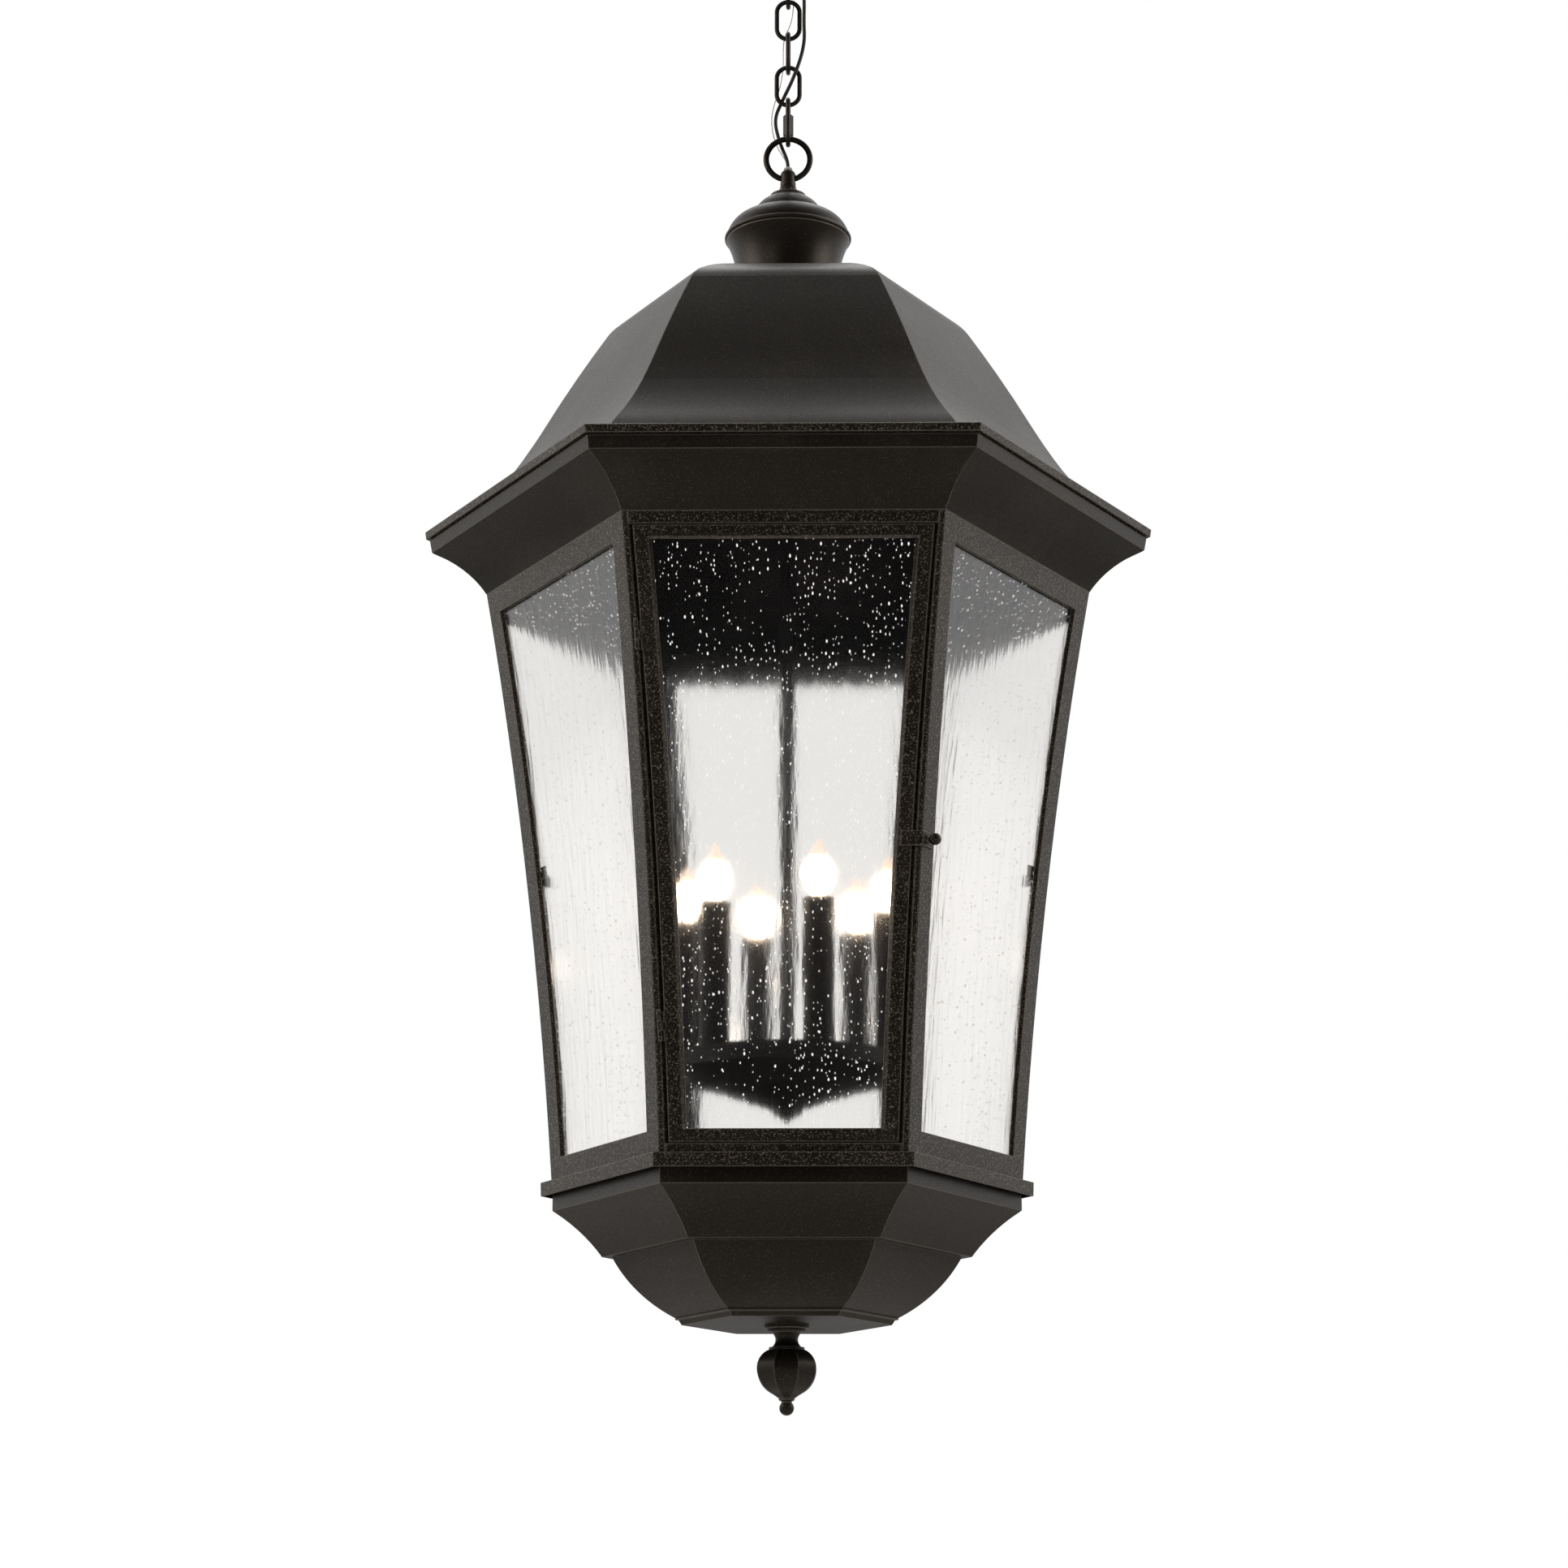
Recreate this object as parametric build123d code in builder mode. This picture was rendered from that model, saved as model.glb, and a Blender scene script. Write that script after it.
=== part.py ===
"""A six-sided hanging lantern with a glazed door, on a chain below its ceiling canopy.

Millimetres. The origin is the middle of the ceiling face, +Z is up and the door faces -Y.
Radii of six-sided pieces are given to their corners.
"""

from build123d import *
from math import cos, pi, radians, sin, sqrt, tan
import os

os.makedirs("parts", exist_ok=True)

# ---------------------------------------------------------------------------
# Driving dimensions
# ---------------------------------------------------------------------------
CLEAR = 0.3  # between pieces that move past each other or are pushed together
RUNNING = 0.05  # radial clearance of a pin or a thread in its hole
SHEET = 2.0  # wall of the folded and spun metal

# Ceiling fitting
CANOPY_RADIUS = 65.0
CANOPY_DEPTH = 26.0
CANOPY_WALL = 1.2
CANOPY_RIM = 4.0  # height of the canopy's upright rim
CANOPY_SHOULDER = (50.0, 18.5)  # radius and depth in the middle of its curve
CANOPY_FLAT_RADIUS = 24.0
SCREW_SPACING = 88.9
SCREW_HOLE_RADIUS = 2.4
CROSSBAR_LENGTH = 106.0
CROSSBAR_WIDTH = 20.0
CROSSBAR_THICKNESS = 2.5
NIPPLE_RADIUS = 4.95
NIPPLE_BORE = 3.4
NIPPLE_LENGTH = 27.0
NUT_ACROSS_FLATS = 16.0
NUT_THICKNESS = 4.0
COLLAR_RADIUS = 13.0
COLLAR_HEIGHT = 8.0
LOOP_STEM_RADIUS = 7.0
LOOP_STEM_TOP = -16.0
LOOP_EYE_Z = -50.0
LOOP_EYE_RADIUS = 9.5
LOOP_WIRE = 5.5

# Chain, quick link and ring
LINK_WIRE = 5.2
LINK_LENGTH = 41.8
LINK_WIDTH = 21.2
LINK_COUNT = 4
QUICK_WIRE = 5.5
QUICK_LENGTH = 49.0
QUICK_WIDTH = 15.0
QUICK_GAP = 11.0
QUICK_NUT_LENGTH = 25.0
QUICK_NUT_FLATS = 10.4
RING_WIRE = 6.6
RING_RADIUS = 25.2

# Hub and round cap
HUB_HOLE_RADIUS = 5.3
HUB_POST_RADIUS = 8.9
HUB_FOOT_RADIUS = 20.2
HUB_FOOT_DROP = 22.5
BUSHING_RADIUS = 4.2
BUSHING_BORE = 3.5
BUSHING_DEPTH = 5.2
BUSHING_RIM = 2.0
BUSHING_LAP = 0.6  # of its rim over the hub's top
CAP_STEP_RADIUS = 40.5  # where the round cap steps from its upper to its lower dome
CAP_STEP_DROP = 22.0  # from the hub's foot
CAP_SHOULDER_RADIUS = 62.4  # in the middle of the lower dome's curve
CAP_SHOULDER_RISE = 17.8  # of that point above the bead
CAP_RADIUS = 72.4
CAP_BASE_RADIUS = 60.0
CAP_WAIST_RADIUS = 63.0  # in the middle of the bowl's curve
CAP_WAIST_DROP = 21.5  # of that point below the bead
CAP_BEAD_DROP = 73.6
CAP_BEAD_WIRE = 2.8

# Roof and eaves, as corner radii and as drops below the hub's hole
ROOF_DROP = 134.0
ROOF_TOP_RADIUS = 64.0
ROOF_KNEE_RADIUS = 190.0
ROOF_FOOT_RADIUS = 363.0
EAVE_DROP = 412.0
EAVE_RADIUS = 406.4
LIP_HEIGHT = 8.3
FASCIA_RADIUS = 401.0
FASCIA_HEIGHT = 14.0
COVE_MIDDLE_RADIUS = 362.0  # halfway down the cove's curve
COVE_FLANGE = 30.0  # how far the cove's foot reaches in over the cage

# Cage
CAGE_DROP = 497.0
CAGE_HEIGHT = 658.9
CAGE_TOP_RADIUS = 336.2
CAGE_MIDDLE_RADIUS = 285.0
CAGE_FOOT_RADIUS = 252.3
POST_LEG = 25.4
POST_WALL = 4.5
HEAD_RAIL = 26.5
FOOT_RAIL = 24.9
EDGE_CHAMFER = 0.7  # on the outer edges of the posts and the door frame
FLATNESS = 0.35  # how near a cage side's face an edge of it lies
GLASS_THICKNESS = 3.0
GLASS_COVER = 11.4  # how far a pane reaches behind its post
PANE_HEAD_GAP = 9.0  # from the cage's top down to a side pane
PANE_FOOT_GAP = 7.0
DOOR_PANE_LAP = 6.0  # of the door's pane behind its rails
DOOR_PANE_PLAY = 1.5  # between the door's pane and the stops beside it
CLIP_HEIGHT = 13.0
CLIP_WALL = 1.5
CLIP_RISE = 22.0  # of the clips' tops over the latch
CLIP_FINGER = 6.0  # how far a clip reaches past its post

# Door, hinges and latch
HEADER_HEIGHT = 13.4
SILL_HEIGHT = 9.9
FRONT_STRIP = 6.0
HINGE_GAP = 4.0
DOOR_PLAY = 1.1
DOOR_THICKNESS = 6.0
DOOR_STILE = 15.4
DOOR_TOP_RAIL = 13.2
DOOR_BOTTOM_RAIL = 14.1
STOP_CLEAR = 0.5
STOP_WALL = 2.0
STOP_REACH = 16.5
STOP_OVERLAP = 6.2  # of the stops at the door's head and foot
STOP_WEB = 8.0
HINGE_HEIGHT = 30.0
HINGE_SHARES = (0.1958, 0.8051)  # of the cage's height, down to the middle of each hinge
HINGE_SINK = 1.0  # how far the hinge line lies inside the door's face at its two ends
KNUCKLE_RADIUS = 2.5
HINGE_PIN_RADIUS = 1.2
LEAF_WALL = 1.2
KNUCKLE_PLAY = 0.3
EAR_INSET = 0.6  # how far an ear ends inside its knuckle
PIN_HEAD_MARGIN = 0.9
PIN_HEAD_HEIGHT = 1.4
LATCH_SHARE = 0.5145  # of the cage's height, down to the middle of the latch
LATCH_HEIGHT = 15.5
LATCH_WALL = 1.8
LATCH_REACH = 21.0
LATCH_PAD = 13.0  # how far the strap reaches onto the door
LATCH_SCREW_RADIUS = 1.6
LATCH_SCREW_MARGIN = 10.5  # from the corner, outside the pane's edge behind the post
LATCH_COLLAR_RADIUS = 2.4
LATCH_BALL_RADIUS = 6.2
LATCH_BALL_STAND = 9.5

# Tray, cup and bowl under the cage
TRAY_RADIUS = 263.7
TRAY_RIM = 14.6
TRAY_WALL = 2.4
BAND_RADIUS = 250.6
BAND_HEIGHT = 30.0
CUP_FOOT_RADIUS = 196.8
CUP_HEIGHT = 79.5
BOWL_RADIUS = 186.2
BOWL_FOOT_RADIUS = 117.5
BOWL_HEIGHT = 65.0
BOTTOM_PLATE_RADIUS = 115.0
BOTTOM_PLATE_WALL = 7.0
FINIAL_HEIGHT = 94.5
FLANGE_HEIGHT = 7.5
FLANGE_RADIUS = 23.7
FINIAL_TIP_RADIUS = 7.8
FINIAL_STUD_REACH = 8.0  # above the bottom plate, through its nut
FINIAL_SIDES = 8

# Candles
STEM_RADIUS = 8.0
STEM_BORE = 5.5
STEM_NUT_FLATS = 24.0
STEM_NUT_HEIGHT = 5.0
STEM_INSERT = 8.0  # how far the stem goes up into the hub
PAN_RADIUS = 132.0
PAN_LIFT = 131.9  # from the cage's foot to the pan's rim
PAN_RIM = 16.0
PAN_CONE_DEPTH = 37.0
CONE_KNEE_RADIUS = 70.0
CONE_KNEE_DEPTH = 17.0
CONE_FOOT_RADIUS = 14.0
CANDLE_COUNT = 6
CANDLE_CIRCLE = 113.0
CANDLE_TURN = -12.0
CANDLE_RADIUS = 16.5
CANDLE_HEIGHT = 162.0
CANDLE_WALL = 1.5
CUP_STALK_HEIGHT = 6.0
CUP_DISH_HEIGHT = 3.0
SOCKET_BORE = 6.4
SOCKET_DEPTH = 20.0
SOCKET_FLOOR = 6.0
SOCKET_DROP = 5.0  # of the socket's top below its sleeve's
SOCKET_POST_RADIUS = 5.0
BULB_RADIUS = 17.0

# ---------------------------------------------------------------------------
# Heights that follow from the sizes above
# ---------------------------------------------------------------------------
APOTHEM = cos(radians(30))  # of a hexagon whose corner radius is 1

link_seats = [LOOP_EYE_Z - LOOP_EYE_RADIUS]
for number in range(LINK_COUNT):
    link_seats.append(link_seats[-1] + CLEAR - LINK_LENGTH)
quick_top = link_seats[-1] + CLEAR
quick_seat = quick_top - QUICK_LENGTH
ring_z = quick_seat + CLEAR - (RING_RADIUS - RING_WIRE / 2)
hub_z = ring_z - RING_RADIUS

roof_z = hub_z - ROOF_DROP
eave_z = hub_z - EAVE_DROP
cage_top = hub_z - CAGE_DROP
cage_foot = cage_top - CAGE_HEIGHT
door_top = cage_top - HEADER_HEIGHT - DOOR_PLAY
door_foot = cage_foot + SILL_HEIGHT + DOOR_PLAY
tray_top = cage_foot
cup_foot = tray_top - CUP_HEIGHT
bowl_foot = cup_foot - BOWL_HEIGHT
finial_top = bowl_foot - BOTTOM_PLATE_WALL
pan_z = cage_foot + PAN_LIFT
latch_z = cage_top - LATCH_SHARE * CAGE_HEIGHT


def save(part, name):
    """Label a finished piece and write its STEP file."""
    part.label = name
    export_step(part, f"parts/{name}.step")


def turned(piece, angle):
    """The same piece turned about the lantern's axis."""
    with BuildPart() as copy:
        with Locations(Location((0, 0, 0), (0, 0, angle))):
            add(piece)
    return copy.part


# ---------------------------------------------------------------------------
# Ceiling fitting
# ---------------------------------------------------------------------------
with BuildPart() as ceiling_canopy:
    with BuildSketch(Plane.XZ):
        with BuildLine():
            rim = Line((CANOPY_RADIUS, -CLEAR), (CANOPY_RADIUS, -CANOPY_RIM))
            shoulder = ThreePointArc(
                rim @ 1,
                (CANOPY_SHOULDER[0], -CANOPY_SHOULDER[1]),
                (CANOPY_FLAT_RADIUS, -CANOPY_DEPTH),
            )
            flat = Line(shoulder @ 1, (LOOP_STEM_RADIUS + CLEAR, -CANOPY_DEPTH))
            lip = Line(flat @ 1, (flat @ 1) + (0, CANOPY_WALL))
            inner_flat = Line(lip @ 1, (CANOPY_FLAT_RADIUS, CANOPY_WALL - CANOPY_DEPTH))
            inner_shoulder = ThreePointArc(
                inner_flat @ 1,
                (CANOPY_SHOULDER[0] - CANOPY_WALL / 2, CANOPY_WALL - CANOPY_SHOULDER[1]),
                (CANOPY_RADIUS - CANOPY_WALL, -CANOPY_RIM),
            )
            inner_rim = Line(inner_shoulder @ 1, (CANOPY_RADIUS - CANOPY_WALL, -CLEAR))
            Line(inner_rim @ 1, rim @ 0)
        make_face()
    revolve(axis=Axis.Z)
save(ceiling_canopy.part, "ceiling_canopy")

with BuildPart() as canopy_crossbar:
    with BuildSketch(Plane.XY.offset(-CROSSBAR_THICKNESS)):
        SlotOverall(CROSSBAR_LENGTH, CROSSBAR_WIDTH)
        Circle(NIPPLE_RADIUS + RUNNING, mode=Mode.SUBTRACT)
        with GridLocations(SCREW_SPACING, 0, 2, 1):
            Circle(SCREW_HOLE_RADIUS, mode=Mode.SUBTRACT)
    extrude(amount=CROSSBAR_THICKNESS)
save(canopy_crossbar.part, "canopy_crossbar")

with BuildPart() as threaded_nipple:
    with BuildSketch(Plane.XY.offset(-NIPPLE_LENGTH)):
        Circle(NIPPLE_RADIUS)
        Circle(NIPPLE_BORE, mode=Mode.SUBTRACT)
    extrude(amount=NIPPLE_LENGTH)
save(threaded_nipple.part, "threaded_nipple")

with BuildPart() as nipple_locknut:
    with BuildSketch(Plane.XY.offset(-CROSSBAR_THICKNESS - NUT_THICKNESS)):
        RegularPolygon(NUT_ACROSS_FLATS / 2, 6, major_radius=False)
        Circle(NIPPLE_RADIUS + RUNNING, mode=Mode.SUBTRACT)
    extrude(amount=NUT_THICKNESS)
save(nipple_locknut.part, "nipple_locknut")

with BuildPart() as collar_ring:
    with BuildSketch(Plane.XY.offset(-CANOPY_DEPTH - COLLAR_HEIGHT)):
        Circle(COLLAR_RADIUS)
    extrude(amount=COLLAR_HEIGHT)
    fillet(collar_ring.edges().sort_by(Axis.Z)[0], COLLAR_HEIGHT / 3)
    with Locations((0, 0, -CANOPY_DEPTH)):
        Hole(LOOP_STEM_RADIUS + CLEAR, depth=2 * COLLAR_HEIGHT)
save(collar_ring.part, "collar_ring")

with BuildPart() as ceiling_loop:
    with BuildSketch(Plane.XZ):
        with BuildLine():
            Polyline(
                (0, LOOP_STEM_TOP),
                (LOOP_STEM_RADIUS, LOOP_STEM_TOP),
                (LOOP_STEM_RADIUS, LOOP_EYE_Z + LOOP_EYE_RADIUS + 5),
                (LOOP_STEM_RADIUS - 1.8, LOOP_EYE_Z + LOOP_EYE_RADIUS - 1),
                (0, LOOP_EYE_Z + LOOP_EYE_RADIUS - 1),
                close=True,
            )
        make_face()
    revolve(axis=Axis.Z)
    with Locations(Location((0, 0, LOOP_EYE_Z), (90, 0, 0))):
        Torus(LOOP_EYE_RADIUS + LOOP_WIRE / 2, LOOP_WIRE / 2)
    with Locations((0, 0, LOOP_STEM_TOP)):
        CounterBoreHole(
            NIPPLE_BORE - 0.1,
            NIPPLE_RADIUS + RUNNING,
            LOOP_STEM_TOP + NIPPLE_LENGTH + CLEAR,
            depth=LOOP_STEM_TOP - LOOP_EYE_Z - 4,
        )
save(ceiling_loop.part, "ceiling_loop")


# ---------------------------------------------------------------------------
# Chain, quick link and ring
# ---------------------------------------------------------------------------
def wire_link(wire, inside_top, length, width):
    """A closed oval link of round wire, standing in the XZ plane."""
    bend = (width + wire) / 2
    top = inside_top + wire / 2 - bend
    foot = inside_top - length - wire / 2 + bend
    with BuildPart() as link:
        with BuildLine(Plane.XZ) as path:
            upper = CenterArc((0, top), bend, 0, 180)
            Line(upper @ 1, (-bend, foot))
            lower = CenterArc((0, foot), bend, 180, 180)
            Line(lower @ 1, upper @ 0)
        with BuildSketch(Plane.XY.offset(top)):
            with Locations((bend, 0)):
                Circle(wire / 2)
        sweep(path=path.wire())
    return link.part


for number in range(LINK_COUNT):
    link = wire_link(LINK_WIRE, link_seats[number] + CLEAR, LINK_LENGTH, LINK_WIDTH)
    save(turned(link, 90 if number % 2 == 0 else 0), f"chain_link_{number + 1}")

quick_bend = (QUICK_WIDTH + QUICK_WIRE) / 2
quick_middle = quick_top - QUICK_LENGTH / 2
closed_link = wire_link(QUICK_WIRE, quick_top, QUICK_LENGTH, QUICK_WIDTH)
with BuildPart() as open_link:
    add(closed_link)
    with Locations((quick_bend, 0, quick_middle)):
        Box(2 * QUICK_WIRE, 2 * QUICK_WIRE, QUICK_GAP, mode=Mode.SUBTRACT)
save(turned(open_link.part, 90), "quick_link")

with BuildPart() as quick_link_nut:
    with BuildSketch(Plane.XY.offset(quick_middle - QUICK_NUT_LENGTH / 2)):
        with Locations((0, quick_bend)):
            RegularPolygon(QUICK_NUT_FLATS / 2, 6, major_radius=False)
            Circle(QUICK_WIRE / 2 + RUNNING, mode=Mode.SUBTRACT)
    extrude(amount=QUICK_NUT_LENGTH)
save(quick_link_nut.part, "quick_link_nut")

with BuildPart() as hanging_ring:
    with Locations(Location((0, 0, ring_z), (90, 0, 0))):
        Torus(RING_RADIUS, RING_WIRE / 2)
save(hanging_ring.part, "hanging_ring")

# ---------------------------------------------------------------------------
# Hub and round cap
# ---------------------------------------------------------------------------
hub_top = hub_z + HUB_HOLE_RADIUS + 6.9
hub_foot = hub_z - HUB_FOOT_DROP
with BuildPart() as top_hub:
    with BuildSketch(Plane.XZ):
        with BuildLine():
            crown = ThreePointArc(
                (0, hub_top), (6.6, hub_top - 2.6), (HUB_POST_RADIUS, hub_top - 8)
            )
            post = Line(crown @ 1, (HUB_POST_RADIUS, hub_z - 7))
            hollow = TangentArc(post @ 1, (HUB_FOOT_RADIUS, hub_foot + 2.4), tangent=(0, -1))
            edge = Line(hollow @ 1, (HUB_FOOT_RADIUS, hub_foot))
            base = Line(edge @ 1, (0, hub_foot))
            Line(base @ 1, crown @ 0)
        make_face()
    revolve(axis=Axis.Z)
    with Locations(Location((0, 0, hub_z), (0, 90, 0))):
        Hole(HUB_HOLE_RADIUS, depth=2 * HUB_FOOT_RADIUS)
    with Locations((0, 0, hub_top)):
        Hole(BUSHING_RADIUS, depth=BUSHING_DEPTH)
    with Locations(Location((0, 0, hub_foot), (180, 0, 0))):
        Hole(STEM_RADIUS + RUNNING, depth=12)
save(top_hub.part, "top_hub")

with BuildPart() as cord_bushing:
    with BuildSketch(Plane.XY.offset(hub_top - BUSHING_DEPTH)):
        Circle(BUSHING_RADIUS)
    extrude(amount=BUSHING_DEPTH)
    with BuildSketch(Plane.XY.offset(hub_top)):
        Circle(BUSHING_RADIUS + BUSHING_LAP)
    extrude(amount=BUSHING_RIM)
    fillet(cord_bushing.edges().sort_by(Axis.Z)[-1], BUSHING_RIM / 2.2)
    with Locations((0, 0, hub_top + BUSHING_RIM)):
        Hole(BUSHING_BORE, depth=BUSHING_DEPTH + 2 * BUSHING_RIM)
save(cord_bushing.part, "cord_bushing")


def spun_sheet(points, wall):
    """The section of a spun sheet: an outer arc through three points and its wall inside."""
    with BuildSketch(Plane.XZ) as section:
        with BuildLine():
            outside = ThreePointArc(*points)
            inside = ThreePointArc(*[(x - wall, z - wall / 2) for x, z in points])
            Line(outside @ 0, inside @ 0)
            Line(outside @ 1, inside @ 1)
        make_face()
    return section.sketch


upper_dome_foot = hub_foot - CAP_STEP_DROP
dome_section = spun_sheet(
    [
        (HUB_FOOT_RADIUS - 2, hub_foot),
        (CAP_STEP_RADIUS - 7.8, hub_foot - 9.4),
        (CAP_STEP_RADIUS, upper_dome_foot),
    ],
    SHEET,
)
with BuildPart() as cap_upper_dome:
    revolve(dome_section, axis=Axis.Z)
    with BuildSketch(Plane.XY.offset(hub_foot - SHEET)):
        Circle(HUB_FOOT_RADIUS - 1)
        Circle(STEM_RADIUS + CLEAR, mode=Mode.SUBTRACT)
    extrude(amount=SHEET)
save(cap_upper_dome.part, "cap_upper_dome")

bead_z = hub_z - CAP_BEAD_DROP
lower_dome_top = upper_dome_foot - SHEET / 2
lower_section = spun_sheet(
    [
        (CAP_STEP_RADIUS + 1, lower_dome_top),
        (CAP_SHOULDER_RADIUS, bead_z + CAP_SHOULDER_RISE),
        (CAP_RADIUS - 2.2, bead_z + 2.6),
    ],
    SHEET,
)
with BuildPart() as cap_lower_dome:
    revolve(lower_section, axis=Axis.Z)
    with Locations((0, 0, bead_z)):
        Torus(CAP_RADIUS - CAP_BEAD_WIRE, CAP_BEAD_WIRE)
    with BuildSketch(Plane.XY.offset(lower_dome_top - SHEET)):
        Circle(CAP_STEP_RADIUS + 1)
        Circle(CAP_STEP_RADIUS - 14, mode=Mode.SUBTRACT)
    extrude(amount=SHEET)
save(cap_lower_dome.part, "cap_lower_dome")

with BuildPart() as cap_bowl:
    bowl_top = bead_z - CAP_BEAD_WIRE
    bowl_section = spun_sheet(
        [
            (CAP_RADIUS - 1.9, bowl_top),
            (CAP_WAIST_RADIUS, bead_z - CAP_WAIST_DROP),
            (CAP_BASE_RADIUS, roof_z),
        ],
        SHEET,
    )
    revolve(bowl_section, axis=Axis.Z)
    split(bisect_by=Plane.XY.offset(roof_z), keep=Keep.TOP)
save(cap_bowl.part, "cap_bowl")


# ---------------------------------------------------------------------------
# Six-sided sheets: an upright section carried along one side and mitred
# ---------------------------------------------------------------------------
def mitre_plane(side, half_angle=30, margin=0):
    """A plane beside the right (1) or left (-1) corner of the +X side, facing its middle.

    It runs along the mitre, or parallel to it where the margin, measured along the side
    from the corner, isn't zero.
    """
    a = radians(half_angle)
    return Plane(
        origin=(0, -side * margin, 0),
        x_dir=(0, 0, 1),
        z_dir=(sin(a), -side * cos(a), 0),
    )


def mitred_panel(section, half_angle=30):
    """The +X side of a many-sided ring with the given section."""
    with BuildPart() as panel:
        extrude(section, amount=EAVE_RADIUS, both=True)
        split(bisect_by=mitre_plane(1, half_angle))
        split(bisect_by=mitre_plane(-1, half_angle))
    return panel.part


def ring_of(panel, sides=6):
    """A closed ring of equal mitred panels, with one of them facing -Y."""
    with BuildPart() as ring:
        with PolarLocations(0, sides, start_angle=-90):
            add(panel)
    return ring.part


def at(corner_radius, z):
    """A section point, from the radius to the corner there and the height."""
    return (corner_radius * APOTHEM, z)


# Roof, eave lip and cove
roof_foot = eave_z - 3.0
roof_line = [
    at(ROOF_TOP_RADIUS, roof_z),
    at(ROOF_KNEE_RADIUS - 4, roof_z - 40),
    at(ROOF_KNEE_RADIUS + 14.5, roof_z - 56.5),
    at(272, roof_z - 162.6),
    at(299, roof_z - 206),
    at(345, roof_foot + 20.4),
    at(ROOF_FOOT_RADIUS, roof_foot),
]


def flow(points, tangent):
    """Arcs from point to point, each running on from the one before, and their two ends."""
    for start, end in zip(points, points[1:]):
        arc = TangentArc(start, end, tangent=tangent)
        tangent = arc % 1
    return points[0], points[-1]


ROOF_START = (1, -0.151)  # direction of the roof's line where it leaves the flat top
with BuildSketch(Plane.XZ) as roof_section:
    with BuildLine():
        top, foot = flow(roof_line, ROOF_START)
        inner_top, inner_foot = flow([(x - 1.2, z - SHEET) for x, z in roof_line], ROOF_START)
        Polyline(top, (4, roof_z), (4, roof_z - SHEET), inner_top)
        Line(foot, inner_foot)
    make_face()
roof_ring = ring_of(mitred_panel(roof_section.sketch))
with BuildPart() as roof_shell:
    add(roof_ring)
    with Locations((0, 0, roof_z)):
        Hole(STEM_RADIUS + CLEAR, depth=4 * SHEET)
save(roof_shell.part, "roof_shell")

lip_foot = eave_z - 12.1 - LIP_HEIGHT
with BuildSketch(Plane.XZ) as lip_section:
    with BuildLine():
        Polyline(
            at(ROOF_FOOT_RADIUS - 22, roof_foot - SHEET - CLEAR),
            at(ROOF_FOOT_RADIUS + 2, roof_foot - SHEET - CLEAR),
            at(EAVE_RADIUS - 1.2, eave_z - 11.2),
            at(EAVE_RADIUS, eave_z - 12.1),
            at(EAVE_RADIUS - 1.1, lip_foot),
            at(FASCIA_RADIUS - 3, lip_foot),
            at(FASCIA_RADIUS - 3, lip_foot + 4),
            at(ROOF_FOOT_RADIUS - 22, roof_foot - 3 * SHEET),
            close=True,
        )
    make_face()
lip_ring = ring_of(mitred_panel(lip_section.sketch))
save(lip_ring, "eave_lip")

cove_top = lip_foot - 1.6
cove_start = cove_top - FASCIA_HEIGHT
with BuildSketch(Plane.XZ) as cove_section:
    with BuildLine():
        fascia = Line(at(FASCIA_RADIUS, cove_top), at(FASCIA_RADIUS - 2.7, cove_start))
        step = Line(fascia @ 1, at(FASCIA_RADIUS - 5, cove_start - 1.5))
        cove = ThreePointArc(
            step @ 1, at(COVE_MIDDLE_RADIUS, (cove_start + cage_top) / 2 + 3.5), at(CAGE_TOP_RADIUS, cage_top)
        )
        foot = Line(cove @ 1, at(CAGE_TOP_RADIUS - COVE_FLANGE, cage_top))
        flange = Line(foot @ 1, at(CAGE_TOP_RADIUS - COVE_FLANGE, cage_top + SHEET))
        hem = Line(flange @ 1, at(CAGE_TOP_RADIUS - 1.2, cage_top + SHEET))
        inner_cove = ThreePointArc(
            hem @ 1,
            at(COVE_MIDDLE_RADIUS - 2.4, (cove_start + cage_top) / 2 + 5.5),
            at(FASCIA_RADIUS - 7.5, cove_start + 0.4),
        )
        back = Line(inner_cove @ 1, at(FASCIA_RADIUS - 3, cove_start + 3.5))
        wall = Line(back @ 1, at(FASCIA_RADIUS - 3, lip_foot))
        cap = Line(wall @ 1, at(FASCIA_RADIUS - 2, lip_foot))
        Polyline(cap @ 1, at(FASCIA_RADIUS - 2, cove_top), fascia @ 0)
    make_face()
cove_ring = ring_of(mitred_panel(cove_section.sketch))
save(cove_ring, "eave_cove")

# ---------------------------------------------------------------------------
# Cage: every piece is cut from one curved slab per side
# ---------------------------------------------------------------------------
cage_curve = ThreePointArc(
    at(CAGE_TOP_RADIUS, cage_top),
    at(CAGE_MIDDLE_RADIUS, cage_top - CAGE_HEIGHT / 2),
    at(CAGE_FOOT_RADIUS, cage_foot),
)
curve_centre = cage_curve.arc_center
curve_radius = cage_curve.radius


def face_distance(z):
    """Distance from the axis to the middle of a cage side at a height."""
    return curve_centre.X - sqrt(curve_radius**2 - (z - curve_centre.Y) ** 2)


def cage_slab(outer, inner, top, bottom):
    """A curved slab on the +X side between two depths and two heights."""
    with BuildPart() as slab:
        with BuildSketch(Plane.XZ):
            with BuildLine():
                front = ThreePointArc(
                    (face_distance(top) - outer, top),
                    (face_distance((top + bottom) / 2) - outer, (top + bottom) / 2),
                    (face_distance(bottom) - outer, bottom),
                )
                back = ThreePointArc(
                    (face_distance(top) - inner, top),
                    (face_distance((top + bottom) / 2) - inner, (top + bottom) / 2),
                    (face_distance(bottom) - inner, bottom),
                )
                Line(front @ 0, back @ 0)
                Line(front @ 1, back @ 1)
            make_face()
        extrude(amount=EAVE_RADIUS, both=True)
    return slab.part


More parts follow.
